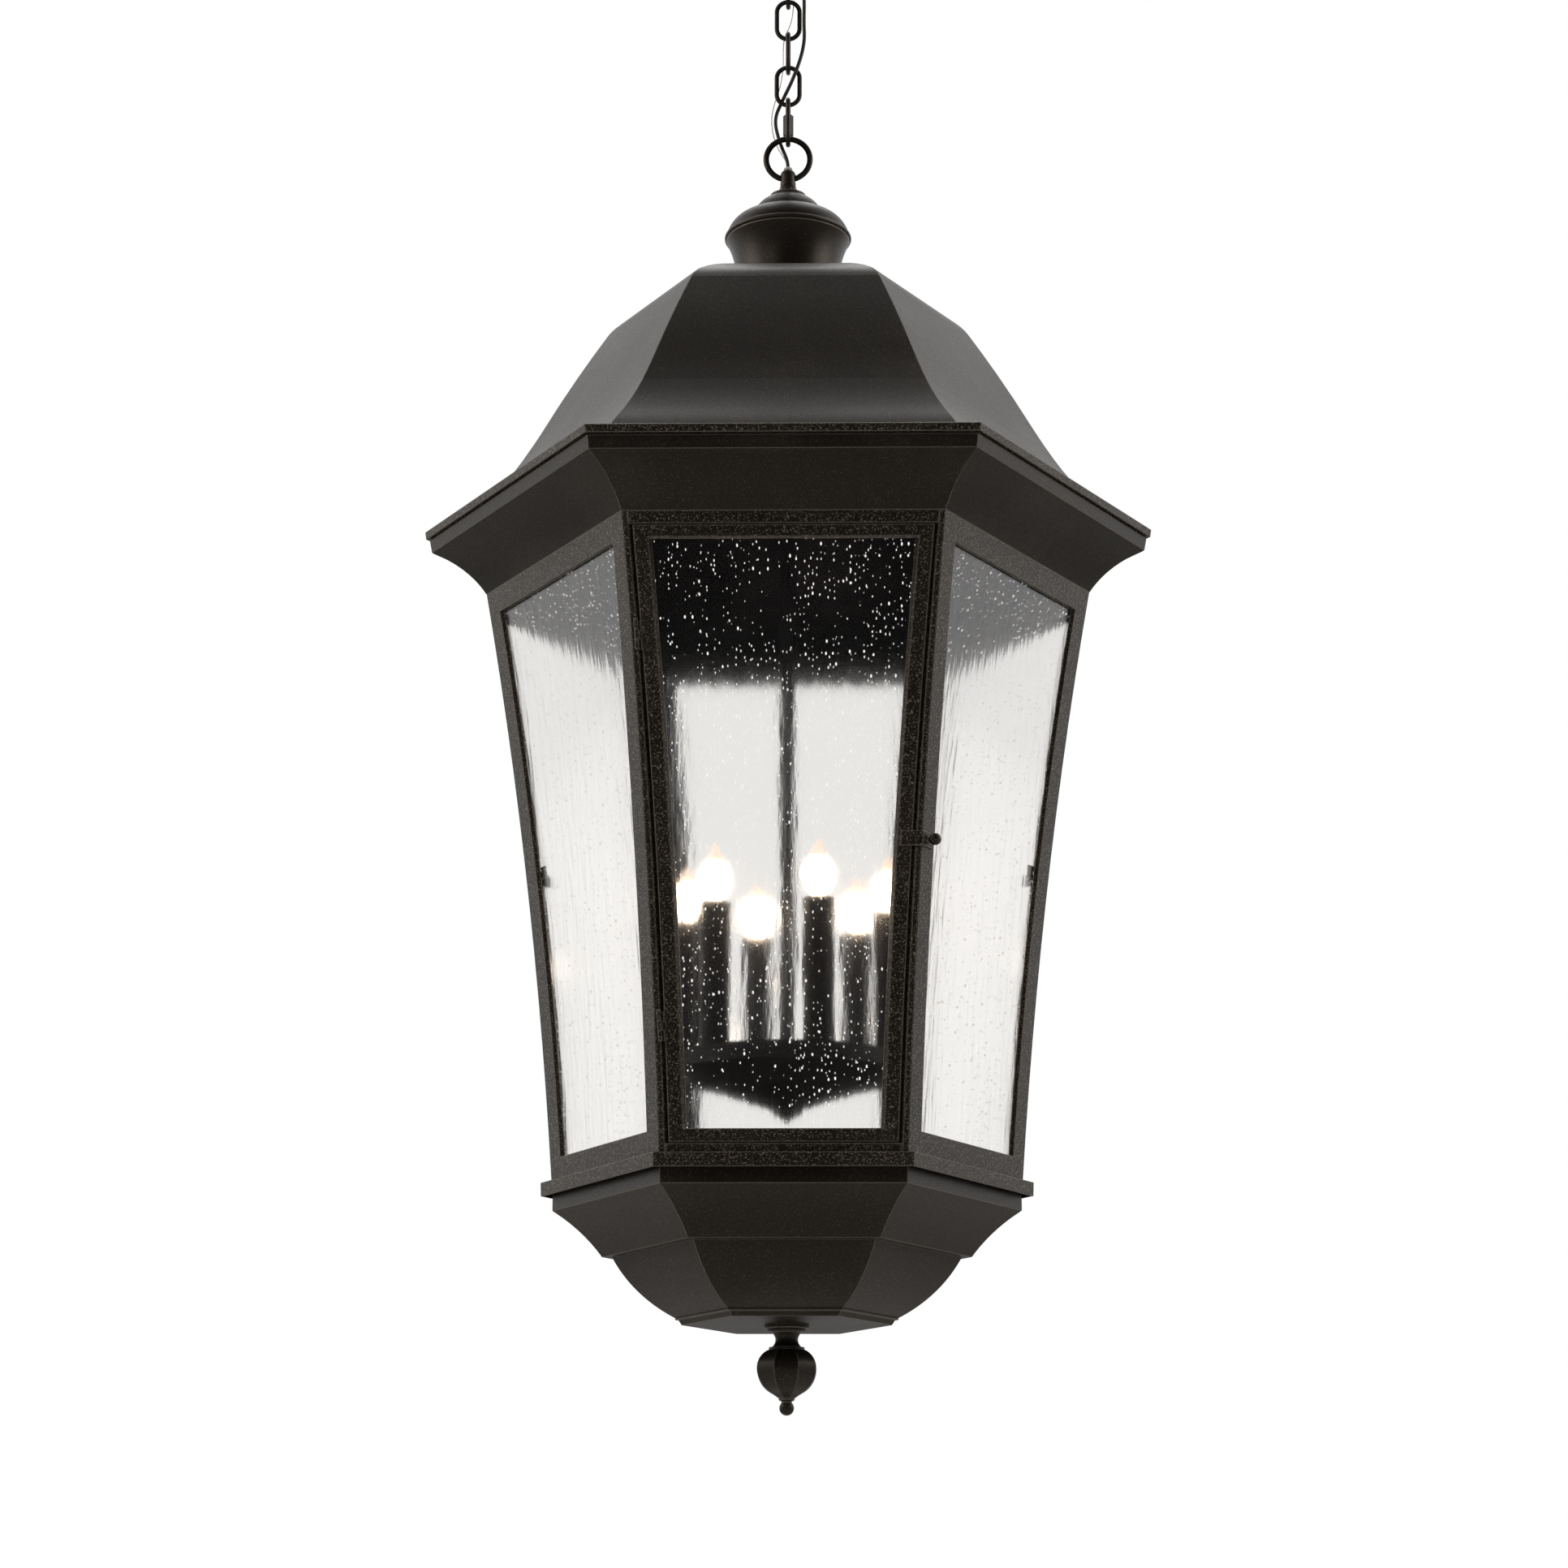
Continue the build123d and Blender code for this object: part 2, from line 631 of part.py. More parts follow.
def cage_bar(outer, inner, top, bottom, left, right):
    """A piece across the +X side, ending at a margin from each corner."""
    slab = cage_slab(outer, inner, top, bottom)
    with BuildPart() as bar:
        add(slab)
        split(bisect_by=mitre_plane(1, margin=right))
        split(bisect_by=mitre_plane(-1, margin=left))
    return bar.part


def cage_leg(outer, inner, top, bottom, near, far):
    """A piece along the right corner of the +X side, between two margins from it."""
    slab = cage_slab(outer, inner, top, bottom)
    with BuildPart() as leg:
        add(slab)
        split(bisect_by=mitre_plane(1, margin=near))
        split(bisect_by=mitre_plane(1, margin=far), keep=Keep.BOTTOM)
    return leg.part


def across_mitre(piece):
    """The piece mirrored from the +X side over its right corner onto the next side."""
    with BuildPart() as other:
        mirror(piece, about=mitre_plane(1))
    return other.part


def left_side(piece):
    """The piece mirrored to the left half of the +X side."""
    with BuildPart() as other:
        mirror(piece, about=Plane.XZ)
    return other.part


FRONT = -90  # turns the +X side to the door's side


def outer_edges(piece, margin):
    """The long front edges of a piece that run along the corners at a margin from them."""
    found = []
    for edge in piece.edges():
        middle = edge @ 0.5
        distance = face_distance(middle.Z)
        corner = distance * tan(radians(30))
        on_face = abs(middle.X - distance) < FLATNESS
        at_margin = abs(abs(middle.Y) - (corner - margin)) < FLATNESS
        if on_face and at_margin and edge.length > CAGE_HEIGHT / 2:
            found.append(edge)
    return found


# Corner posts: two legs each, and a stop behind the door's gap on the two front posts
plain_leg = cage_leg(0, POST_WALL, cage_top, cage_foot, 0, POST_LEG)
strip_leg = cage_leg(0, DOOR_THICKNESS, cage_top, cage_foot, 0, FRONT_STRIP)
stop_leg = cage_leg(
    DOOR_THICKNESS + STOP_CLEAR,
    DOOR_THICKNESS + STOP_CLEAR + STOP_WALL,
    cage_top,
    cage_foot,
    0,
    STOP_REACH,
)
neck_leg = cage_leg(
    DOOR_THICKNESS - 1, DOOR_THICKNESS + STOP_CLEAR + 1, cage_top, cage_foot, 0, FRONT_STRIP
)
with BuildPart() as side_post:
    add(plain_leg)
    add(across_mitre(plain_leg))
    chamfer(outer_edges(side_post, 0), EDGE_CHAMFER)
with BuildPart() as front_post:
    add(strip_leg)
    add(neck_leg)
    add(stop_leg)
    add(across_mitre(plain_leg))
    chamfer(outer_edges(front_post, 0) + outer_edges(front_post, FRONT_STRIP), EDGE_CHAMFER)
left_post = left_side(front_post.part)
save(turned(left_post, FRONT), "post_front_left")
save(turned(front_post.part, FRONT), "post_front_right")
for number, name in enumerate(("right", "back_right", "back_left", "left")):
    save(turned(side_post.part, 60 * number - 30), f"post_{name}")

# Rails between the posts
side_head = cage_bar(0, POST_WALL, cage_top, cage_top - HEAD_RAIL, POST_LEG, POST_LEG)
side_foot = cage_bar(0, POST_WALL, cage_foot + FOOT_RAIL, cage_foot, POST_LEG, POST_LEG)
header_front = cage_bar(
    0, POST_WALL, cage_top, cage_top - HEADER_HEIGHT, FRONT_STRIP, FRONT_STRIP
)
sill_front = cage_bar(
    0, POST_WALL, cage_foot + SILL_HEIGHT, cage_foot, FRONT_STRIP, FRONT_STRIP
)


def front_stop(free_edge, root):
    """A strip behind the door's gap, from its free edge to its root, and the root's web."""
    strip = cage_bar(
        DOOR_THICKNESS + STOP_CLEAR,
        DOOR_THICKNESS + STOP_CLEAR + STOP_WALL,
        max(free_edge, root),
        min(free_edge, root),
        STOP_REACH,
        STOP_REACH,
    )
    web_end = root + (STOP_WEB if free_edge > root else -STOP_WEB)
    web = cage_bar(
        POST_WALL - 1,
        DOOR_THICKNESS + STOP_CLEAR + 1,
        max(web_end, root),
        min(web_end, root),
        STOP_REACH,
        STOP_REACH,
    )
    return strip, web


head_stop = front_stop(door_top - STOP_OVERLAP, cage_top)
sill_stop = front_stop(door_foot + STOP_OVERLAP, cage_foot)
with BuildPart() as head_rails:
    with PolarLocations(0, 5, start_angle=-30, angular_range=300, endpoint=False):
        add(side_head)
    with Locations(Location((0, 0, 0), (0, 0, FRONT))):
        add(header_front)
        add(head_stop)
save(head_rails.part, "head_rails")
with BuildPart() as foot_rails:
    with PolarLocations(0, 5, start_angle=-30, angular_range=300, endpoint=False):
        add(side_foot)
    with Locations(Location((0, 0, 0), (0, 0, FRONT))):
        add(sill_front)
        add(sill_stop)
save(foot_rails.part, "foot_rails")

# Side panes and the clips that hold them from the inside
pane_face = POST_WALL + CLEAR
pane_back = pane_face + GLASS_THICKNESS
pane_margin = POST_LEG - GLASS_COVER
side_pane = cage_bar(
    pane_face,
    pane_back,
    cage_top - PANE_HEAD_GAP,
    cage_foot + PANE_FOOT_GAP,
    pane_margin,
    pane_margin,
)
for number, name in enumerate(("right", "back_right", "back", "back_left", "left")):
    save(turned(side_pane, 60 * number - 30), f"glass_{name}")

clip_top = latch_z + CLIP_RISE
clip_arm = cage_leg(
    POST_WALL,
    pane_back + CLEAR + CLIP_WALL,
    clip_top,
    clip_top - CLIP_HEIGHT,
    pane_margin - CLEAR - CLIP_WALL,
    pane_margin - CLEAR,
)
clip_finger = cage_leg(
    pane_back + CLEAR,
    pane_back + CLEAR + CLIP_WALL,
    clip_top,
    clip_top - CLIP_HEIGHT,
    pane_margin - CLEAR - CLIP_WALL,
    POST_LEG + CLIP_FINGER,
)
with BuildPart() as clip:
    add(clip_arm)
    add(clip_finger)
clip_pair = (clip.part, across_mitre(clip.part))
with BuildPart() as glass_clips:
    with PolarLocations(0, 4, start_angle=-30, angular_range=240, endpoint=False):
        add(clip_pair)
save(glass_clips.part, "glass_clips")

# ---------------------------------------------------------------------------
# Door with its pane, hinges and latch
# ---------------------------------------------------------------------------
door_margin = FRONT_STRIP + HINGE_GAP
door_slab = cage_bar(0, DOOR_THICKNESS, door_top, door_foot, door_margin, door_margin)
opening = cage_bar(
    -1,
    DOOR_THICKNESS + 1,
    door_top - DOOR_TOP_RAIL,
    door_foot + DOOR_BOTTOM_RAIL,
    door_margin + DOOR_STILE,
    door_margin + DOOR_STILE,
)
with BuildPart() as door_frame:
    add(door_slab)
    add(opening, mode=Mode.SUBTRACT)
    front_edges = door_frame.edges().filter_by(
        lambda edge: abs(edge.center().X - face_distance(edge.center().Z)) < FLATNESS
    )
    chamfer(front_edges, EDGE_CHAMFER)
save(turned(door_frame.part, FRONT), "door_frame")

glass_margin = STOP_REACH + DOOR_PANE_PLAY
door_glass = cage_bar(
    DOOR_THICKNESS,
    DOOR_THICKNESS + GLASS_THICKNESS,
    door_top - DOOR_TOP_RAIL + DOOR_PANE_LAP,
    door_foot + DOOR_BOTTOM_RAIL - DOOR_PANE_LAP,
    glass_margin,
    glass_margin,
)
save(turned(door_glass, FRONT), "door_glass")

# The hinge line is straight and runs in the middle of the left gap
gap_middle = FRONT_STRIP + HINGE_GAP / 2


def hinge_point(z):
    """Where the hinge line passes at one end of the door."""
    distance = face_distance(z)
    corner = distance * tan(radians(30))
    return Vector(distance - HINGE_SINK, -(corner - gap_middle), z)


hinge_foot = hinge_point(door_foot)
hinge_head = hinge_point(door_top)
hinge_line = hinge_head - hinge_foot


def hinge_plane(z):
    """A plane across the hinge line at a height."""
    share = (z - hinge_foot.Z) / hinge_line.Z
    return Plane(origin=hinge_foot + hinge_line * share, x_dir=(0, 1, 0), z_dir=hinge_line)


knuckle = (HINGE_HEIGHT - 2 * KNUCKLE_PLAY) / 3
hinge_levels = [cage_top - share * CAGE_HEIGHT for share in HINGE_SHARES]


def knuckle_at(z, height):
    """One knuckle of a hinge, standing on a height."""
    with BuildPart() as barrel:
        with BuildSketch(hinge_plane(z)):
            Circle(KNUCKLE_RADIUS)
        extrude(amount=height)
    return barrel.part


def pin_hole(middle, radius):
    """A rod along the hinge line, longer than the hinge."""
    with BuildPart() as rod:
        with BuildSketch(hinge_plane(middle - HINGE_HEIGHT)):
            Circle(radius)
        extrude(amount=2 * HINGE_HEIGHT)
    return rod.part


def post_leaf(middle):
    """The leaf on the post, with the upper and lower knuckles."""
    top = middle + HINGE_HEIGHT / 2
    foot = middle - HINGE_HEIGHT / 2
    plate = left_side(
        cage_leg(CLEAR, DOOR_THICKNESS, top, foot, FRONT_STRIP, FRONT_STRIP + LEAF_WALL)
    )
    ears = [
        left_side(
            cage_leg(-3.4, CLEAR + 1, high, low, FRONT_STRIP, FRONT_STRIP + LEAF_WALL)
        )
        for high, low in (
            (top - EAR_INSET, top - knuckle + EAR_INSET),
            (foot + knuckle - EAR_INSET, foot + EAR_INSET),
        )
    ]
    with BuildPart() as leaf:
        add(plate)
        add(ears)
        add(knuckle_at(foot, knuckle))
        add(knuckle_at(top - knuckle, knuckle))
        add(pin_hole(middle, HINGE_PIN_RADIUS + RUNNING), mode=Mode.SUBTRACT)
    return leaf.part


def door_leaf(middle):
    """The leaf on the door's edge, with the middle knuckle."""
    top = middle + HINGE_HEIGHT / 2
    foot = middle - HINGE_HEIGHT / 2
    high = middle + knuckle / 2 - EAR_INSET
    low = middle - knuckle / 2 + EAR_INSET
    plate = left_side(
        cage_leg(0, DOOR_THICKNESS, top, foot, door_margin - LEAF_WALL, door_margin)
    )
    riser = left_side(cage_leg(-3.2, 1, high, low, door_margin - LEAF_WALL, door_margin))
    bridge = left_side(cage_leg(-3.2, -2.0, high, low, FRONT_STRIP, door_margin))
    with BuildPart() as leaf:
        add(plate)
        add(riser)
        add(bridge)
        add(knuckle_at(middle - knuckle / 2, knuckle))
        add(pin_hole(middle, HINGE_PIN_RADIUS + RUNNING), mode=Mode.SUBTRACT)
    return leaf.part


with BuildPart() as post_hinge_leaves:
    with Locations(Location((0, 0, 0), (0, 0, FRONT))):
        add([post_leaf(level) for level in hinge_levels])
save(post_hinge_leaves.part, "post_hinge_leaves")

with BuildPart() as door_hinge_leaves:
    with Locations(Location((0, 0, 0), (0, 0, FRONT))):
        add([door_leaf(level) for level in hinge_levels])
save(door_hinge_leaves.part, "door_hinge_leaves")

with BuildPart() as pins:
    for level in hinge_levels:
        with BuildSketch(hinge_plane(level - HINGE_HEIGHT / 2)):
            Circle(HINGE_PIN_RADIUS)
        extrude(amount=HINGE_HEIGHT)
        with BuildSketch(hinge_plane(level + HINGE_HEIGHT / 2)):
            Circle(HINGE_PIN_RADIUS + PIN_HEAD_MARGIN)
        extrude(amount=PIN_HEAD_HEIGHT)
        with BuildSketch(hinge_plane(level - HINGE_HEIGHT / 2 - PIN_HEAD_HEIGHT)):
            Circle(HINGE_PIN_RADIUS + PIN_HEAD_MARGIN)
        extrude(amount=PIN_HEAD_HEIGHT)
save(turned(pins.part, FRONT), "hinge_pins")

# The latch strap lies on the door's right stile and bends round the post
latch_top = latch_z + LATCH_HEIGHT / 2
latch_foot = latch_z - LATCH_HEIGHT / 2
strap_front = cage_leg(
    -CLEAR - LATCH_WALL, -CLEAR, latch_top, latch_foot, 0, door_margin + LATCH_PAD
)
strap_pad = cage_leg(
    -CLEAR - LATCH_WALL, 0, latch_top, latch_foot, door_margin + 1, door_margin + LATCH_PAD
)
strap_side = across_mitre(
    cage_leg(-CLEAR - LATCH_WALL, -CLEAR, latch_top, latch_foot, 0, LATCH_REACH)
)


def side_face_plane(margin, z, stand):
    """A plane on the side right of the door, facing out, at a margin from the corner."""
    distance = face_distance(z)
    corner = distance * tan(radians(30))
    point = Vector(distance + stand, -(corner - margin), z)
    outwards = Vector(1, 0, 0)
    return Plane(
        origin=point.rotate(Axis.Z, 60), x_dir=(0, 0, 1), z_dir=outwards.rotate(Axis.Z, 60)
    )


with BuildPart() as latch_strap:
    add(strap_front)
    add(strap_pad)
    add(strap_side)
    with BuildSketch(side_face_plane(LATCH_SCREW_MARGIN, latch_z, CLEAR + 1)):
        Circle(2.4 * LATCH_SCREW_RADIUS)
    extrude(amount=LATCH_WALL)
    with BuildSketch(side_face_plane(LATCH_SCREW_MARGIN, latch_z, -CLEAR)):
        Circle(LATCH_SCREW_RADIUS + RUNNING)
    extrude(amount=10, mode=Mode.SUBTRACT)
save(turned(latch_strap.part, FRONT), "latch_strap")

with BuildPart() as latch_screw:
    with BuildSketch(side_face_plane(LATCH_SCREW_MARGIN, latch_z, 1.0)):
        Circle(LATCH_SCREW_RADIUS)
    extrude(amount=LATCH_BALL_STAND)
    with BuildSketch(side_face_plane(LATCH_SCREW_MARGIN, latch_z, 1.0 + 2.6)):
        Circle(LATCH_COLLAR_RADIUS)
    extrude(amount=2)
    ball_plane = side_face_plane(LATCH_SCREW_MARGIN, latch_z, LATCH_BALL_STAND)
    with Locations(ball_plane.location):
        Sphere(LATCH_BALL_RADIUS)
save(turned(latch_screw.part, FRONT), "latch_screw")

# ---------------------------------------------------------------------------
# Tray, cup, bowl and finial
# ---------------------------------------------------------------------------
with BuildSketch(Plane.XZ) as tray_section:
    with BuildLine():
        Polyline(
            at(0, tray_top),
            at(TRAY_RADIUS, tray_top),
            at(TRAY_RADIUS - 0.5, tray_top - TRAY_RIM),
            at(TRAY_RADIUS - 3, tray_top - TRAY_RIM),
            at(TRAY_RADIUS - 2.5, tray_top - TRAY_WALL),
            at(0, tray_top - TRAY_WALL),
            close=True,
        )
    make_face()
save(ring_of(mitred_panel(tray_section.sketch)), "tray_plate")

band_top = tray_top - TRAY_WALL
band_foot = tray_top - BAND_HEIGHT
with BuildSketch(Plane.XZ) as cup_section:
    with BuildLine():
        band = Line(at(BAND_RADIUS, band_top), at(BAND_RADIUS, band_foot))
        step = Line(band @ 1, at(BAND_RADIUS - 3.6, band_foot - 2.5))
        hollow = ThreePointArc(
            step @ 1,
            at(BAND_RADIUS - 33.5, (band_foot + cup_foot) / 2 - 1.5),
            at(CUP_FOOT_RADIUS, cup_foot),
        )
        ledge = Line(hollow @ 1, at(BOWL_RADIUS - 12, cup_foot))
        turn = Line(ledge @ 1, at(BOWL_RADIUS - 12, cup_foot + SHEET))
        shelf = Line(turn @ 1, at(CUP_FOOT_RADIUS - 1.6, cup_foot + SHEET))
        inner_hollow = ThreePointArc(
            shelf @ 1,
            at(BAND_RADIUS - 35.2, (band_foot + cup_foot) / 2),
            at(BAND_RADIUS - 5.2, band_foot - 0.5),
        )
        inner_step = Line(inner_hollow @ 1, at(BAND_RADIUS - 2.4, band_foot + 1.4))
        Polyline(inner_step @ 1, at(BAND_RADIUS - 2.4, band_top), band @ 0)
    make_face()
save(ring_of(mitred_panel(cup_section.sketch)), "lower_cup")

with BuildSketch(Plane.XZ) as bowl_section:
    with BuildLine():
        outside = ThreePointArc(
            at(BOWL_RADIUS, cup_foot),
            at(BOWL_RADIUS - 25, (cup_foot + bowl_foot) / 2 - 1),
            at(BOWL_FOOT_RADIUS, bowl_foot),
        )
        inside = ThreePointArc(
            at(BOWL_RADIUS - 2.4, cup_foot),
            at(BOWL_RADIUS - 27, (cup_foot + bowl_foot) / 2 + 0.6),
            at(BOWL_FOOT_RADIUS - 3, bowl_foot),
        )
        Line(outside @ 0, inside @ 0)
        Line(outside @ 1, inside @ 1)
    make_face()
save(ring_of(mitred_panel(bowl_section.sketch)), "lower_bowl")

with BuildPart() as bottom_plate:
    with BuildSketch(Plane.XY.offset(bowl_foot)):
        RegularPolygon(BOWL_FOOT_RADIUS + 1, 6)
    with BuildSketch(Plane.XY.offset(bowl_foot - 1.5)):
        RegularPolygon(BOWL_FOOT_RADIUS + 1, 6)
    loft()
    with BuildSketch(Plane.XY.offset(bowl_foot - 1.5)):
        RegularPolygon(BOTTOM_PLATE_RADIUS, 6)
    with BuildSketch(Plane.XY.offset(finial_top)):
        RegularPolygon(BOTTOM_PLATE_RADIUS - 3.7, 6)
    loft()
    with Locations((0, 0, bowl_foot)):
        Hole(NIPPLE_RADIUS + RUNNING, depth=2 * BOTTOM_PLATE_WALL)
save(bottom_plate.part, "bottom_plate")

with BuildPart() as finial_flange:
    with BuildSketch(Plane.XY.offset(finial_top - FLANGE_HEIGHT / 2)):
        Circle(FLANGE_RADIUS)
    extrude(amount=FLANGE_HEIGHT / 2)
    with BuildSketch(Plane.XY.offset(finial_top - FLANGE_HEIGHT)):
        Circle(FLANGE_RADIUS - 2.7)
    extrude(amount=FLANGE_HEIGHT / 2)
    fillet(finial_flange.edges().group_by(Axis.Z)[0], 1.2)
    with Locations((0, 0, finial_top)):
        Hole(NIPPLE_RADIUS + RUNNING, depth=FLANGE_HEIGHT)
save(finial_flange.part, "finial_flange")

neck_top = finial_top - FLANGE_HEIGHT
bulb_top = finial_top - 26.5
bulb_foot = finial_top - 77.6
with BuildSketch(Plane.XZ) as bulb_section:
    with BuildLine():
        bulb_line = [
            (19.5, bulb_top),
            (31.3, bulb_top - 19),
            (17.0, bulb_top - 44),
            (7.0, bulb_foot),
        ]
        top, foot = flow(bulb_line, (1, -0.5))
        Polyline(top, (0, bulb_top), (0, bulb_foot), foot)
    make_face()
bulb_body = ring_of(mitred_panel(bulb_section.sketch, 180 / FINIAL_SIDES), FINIAL_SIDES)
with BuildPart() as finial_bulb:
    with BuildSketch(Plane.XZ):
        with BuildLine():
            waist = ThreePointArc(
                (16, neck_top), (12, neck_top - 8), (16.5, bulb_top + 3)
            )
            Polyline(
                waist @ 1,
                (19, bulb_top + 3),
                (19, bulb_top - 0.5),
                (0, bulb_top - 0.5),
                (0, neck_top),
                waist @ 0,
            )
        make_face()
    revolve(axis=Axis.Z)
    add(bulb_body)
    with BuildSketch(Plane.XZ):
        with BuildLine():
            Polyline(
                (0, bulb_foot + 4),
                (8.5, bulb_foot + 1.5),
                (8.5, bulb_foot - 0.8),
                (5.5, bulb_foot - 2.4),
                (5.5, bulb_foot - 5),
                (0, bulb_foot - 5),
                close=True,
            )
        make_face()
    revolve(axis=Axis.Z)
    with Locations((0, 0, finial_top - FINIAL_HEIGHT + FINIAL_TIP_RADIUS)):
        Sphere(FINIAL_TIP_RADIUS)
    with BuildSketch(Plane.XY.offset(neck_top)):
        Circle(NIPPLE_RADIUS)
    extrude(amount=FLANGE_HEIGHT + BOTTOM_PLATE_WALL + FINIAL_STUD_REACH)
save(finial_bulb.part, "finial_bulb")

# ---------------------------------------------------------------------------
# Stem, candle pan and candles
# ---------------------------------------------------------------------------
pan_floor = pan_z - PAN_RIM
cone_foot = pan_floor - SHEET - PAN_CONE_DEPTH
stem_foot = pan_floor - 18
with BuildPart() as stem:
    with BuildSketch(Plane.XY.offset(stem_foot)):
        Circle(STEM_RADIUS)
        Circle(STEM_BORE, mode=Mode.SUBTRACT)
    extrude(amount=hub_foot + STEM_INSERT - stem_foot)
save(stem.part, "stem")

with BuildPart() as stem_nuts:
    under = SHEET + STEM_NUT_HEIGHT
    for level in (roof_z, roof_z - under, pan_floor, pan_floor - under):
        with BuildSketch(Plane.XY.offset(level)):
            RegularPolygon(STEM_NUT_FLATS / 2, 6, major_radius=False)
            Circle(STEM_RADIUS + RUNNING, mode=Mode.SUBTRACT)
        extrude(amount=STEM_NUT_HEIGHT)
save(stem_nuts.part, "stem_nuts")

with BuildPart() as finial_nut:
    with BuildSketch(Plane.XY.offset(bowl_foot)):
        RegularPolygon(NUT_ACROSS_FLATS / 2, 6, major_radius=False)
        Circle(NIPPLE_RADIUS + RUNNING, mode=Mode.SUBTRACT)
    extrude(amount=NUT_THICKNESS)
save(finial_nut.part, "finial_nut")

with BuildPart() as candle_pan:
    with BuildSketch(Plane.XZ):
        with BuildLine():
            Polyline(
                (STEM_RADIUS + CLEAR, pan_floor),
                (PAN_RADIUS - SHEET, pan_floor),
                (PAN_RADIUS - SHEET, pan_z),
                (PAN_RADIUS, pan_z),
                (PAN_RADIUS, pan_floor - SHEET),
                (STEM_RADIUS + CLEAR, pan_floor - SHEET),
                close=True,
            )
        make_face()
    revolve(axis=Axis.Z)
save(candle_pan.part, "candle_pan")

cone_top = pan_floor - SHEET
with BuildPart() as pan_cone:
    with BuildSketch(Plane.XZ):
        with BuildLine():
            Polyline(
                (PAN_RADIUS - 3, cone_top),
                (CONE_KNEE_RADIUS, cone_top - CONE_KNEE_DEPTH),
                (CONE_FOOT_RADIUS, cone_foot),
                (CONE_FOOT_RADIUS, cone_foot + SHEET),
                (CONE_KNEE_RADIUS, cone_top - CONE_KNEE_DEPTH + SHEET),
                (PAN_RADIUS - 9, cone_top),
                close=True,
            )
        make_face()
    revolve(axis=Axis.Z)
save(pan_cone.part, "pan_cone")

with BuildPart() as pan_finial:
    with BuildSketch(Plane.XZ):
        with BuildLine():
            tip = ThreePointArc(
                (16, cone_foot), (11.5, cone_foot - 5.6), (5.5, cone_foot - 8.5)
            )
            Polyline(tip @ 1, (0, cone_foot - 15), (0, cone_foot), tip @ 0)
        make_face()
    revolve(axis=Axis.Z)
    with BuildSketch(Plane.XY.offset(cone_foot)):
        Circle(STEM_BORE - RUNNING)
    extrude(amount=stem_foot - cone_foot + 6)
save(pan_finial.part, "pan_finial")

cup_top = pan_floor + CUP_STALK_HEIGHT + CUP_DISH_HEIGHT
candle_top = cup_top + CANDLE_HEIGHT
socket_top = candle_top - SOCKET_DROP
bulb_z = candle_top + 32


def candle_discs(height, radius, bore=0.0):
    """One disc or ring at the place of every candle, on a level plane."""
    with BuildSketch(Plane.XY.offset(height)) as discs:
        with PolarLocations(CANDLE_CIRCLE, CANDLE_COUNT, start_angle=CANDLE_TURN):
            Circle(radius)
            if bore:
                Circle(bore, mode=Mode.SUBTRACT)
    return discs.sketch


with BuildPart() as candle_cups:
    extrude(candle_discs(pan_floor, STEM_RADIUS), amount=CUP_STALK_HEIGHT)
    extrude(candle_discs(pan_floor + CUP_STALK_HEIGHT, CANDLE_RADIUS), amount=CUP_DISH_HEIGHT)
save(candle_cups.part, "candle_cups")

with BuildPart() as candle_sleeves:
    extrude(
        candle_discs(cup_top, CANDLE_RADIUS, CANDLE_RADIUS - CANDLE_WALL), amount=CANDLE_HEIGHT
    )
save(candle_sleeves.part, "candle_sleeves")

socket_foot = socket_top - SOCKET_DEPTH - SOCKET_FLOOR
with BuildPart() as lamp_sockets:
    extrude(candle_discs(cup_top, SOCKET_POST_RADIUS), amount=socket_foot - cup_top)
    extrude(
        candle_discs(socket_foot, CANDLE_RADIUS - CANDLE_WALL - CLEAR),
        amount=socket_top - socket_foot,
    )
    extrude(
        candle_discs(socket_top - SOCKET_DEPTH, SOCKET_BORE),
        amount=SOCKET_DEPTH,
        mode=Mode.SUBTRACT,
    )
save(lamp_sockets.part, "lamp_sockets")

with BuildPart() as bulb:
    with BuildSketch(Plane.XZ):
        with BuildLine():
            base = Polyline(
                (0, socket_top - SOCKET_DEPTH + 1),
                (SOCKET_BORE - CLEAR, socket_top - SOCKET_DEPTH + 2),
                (SOCKET_BORE - CLEAR, candle_top + 4),
            )
            swell = TangentArc(base @ 1, (BULB_RADIUS, bulb_z - 6), tangent=(1, 1))
            shoulder = TangentArc(swell @ 1, (13.5, bulb_z + 7), tangent=swell % 1)
            Polyline(shoulder @ 1, (1.6, bulb_z + 32), (0, bulb_z + 33.4), base @ 0)
        make_face()
    revolve(axis=Axis.Z)
with BuildPart() as bulbs:
    with PolarLocations(CANDLE_CIRCLE, CANDLE_COUNT, start_angle=CANDLE_TURN):
        add(bulb.part)
save(bulbs.part, "bulbs")

# ---------------------------------------------------------------------------
# Supply cord and ground wire, laced down through the chain
# ---------------------------------------------------------------------------
CORD_DIAMETER = 4.2
GROUND_DIAMETER = 1.2
CORD_ROUTE = [
    (0, -0.9, -2),
    (0.2, -0.8, -16),
    (0, -0.9, -30),
    (0, -0.9, -43),
    (2.0, -3.8, -50.9),
    (7.0, -8.4, -58.8),
    (13.2, -9.6, -68.5),
    (17.6, -6.6, -82),
    (18.8, -4.6, -102),
    (18.2, -4.2, -126),
    (19.0, -4.6, -146),
    (17.2, -5.6, -160),
    (14.4, -7.4, -173),
    (9.6, -8.2, -188),
    (3.2, -2.2, -202),
    (-4.6, 5.8, -215),
    (-10.6, 7.4, -228),
    (-14.0, 4.4, -239),
    (-14.9, 4.2, -250),
    (-12.6, 6.2, -261),
    (-9.6, 7.6, -271),
    (-6.6, 4.8, -281),
    (-2.6, 0.6, -292),
    (0.1, -0.8, -302),
    (0, -0.9, -313),
]
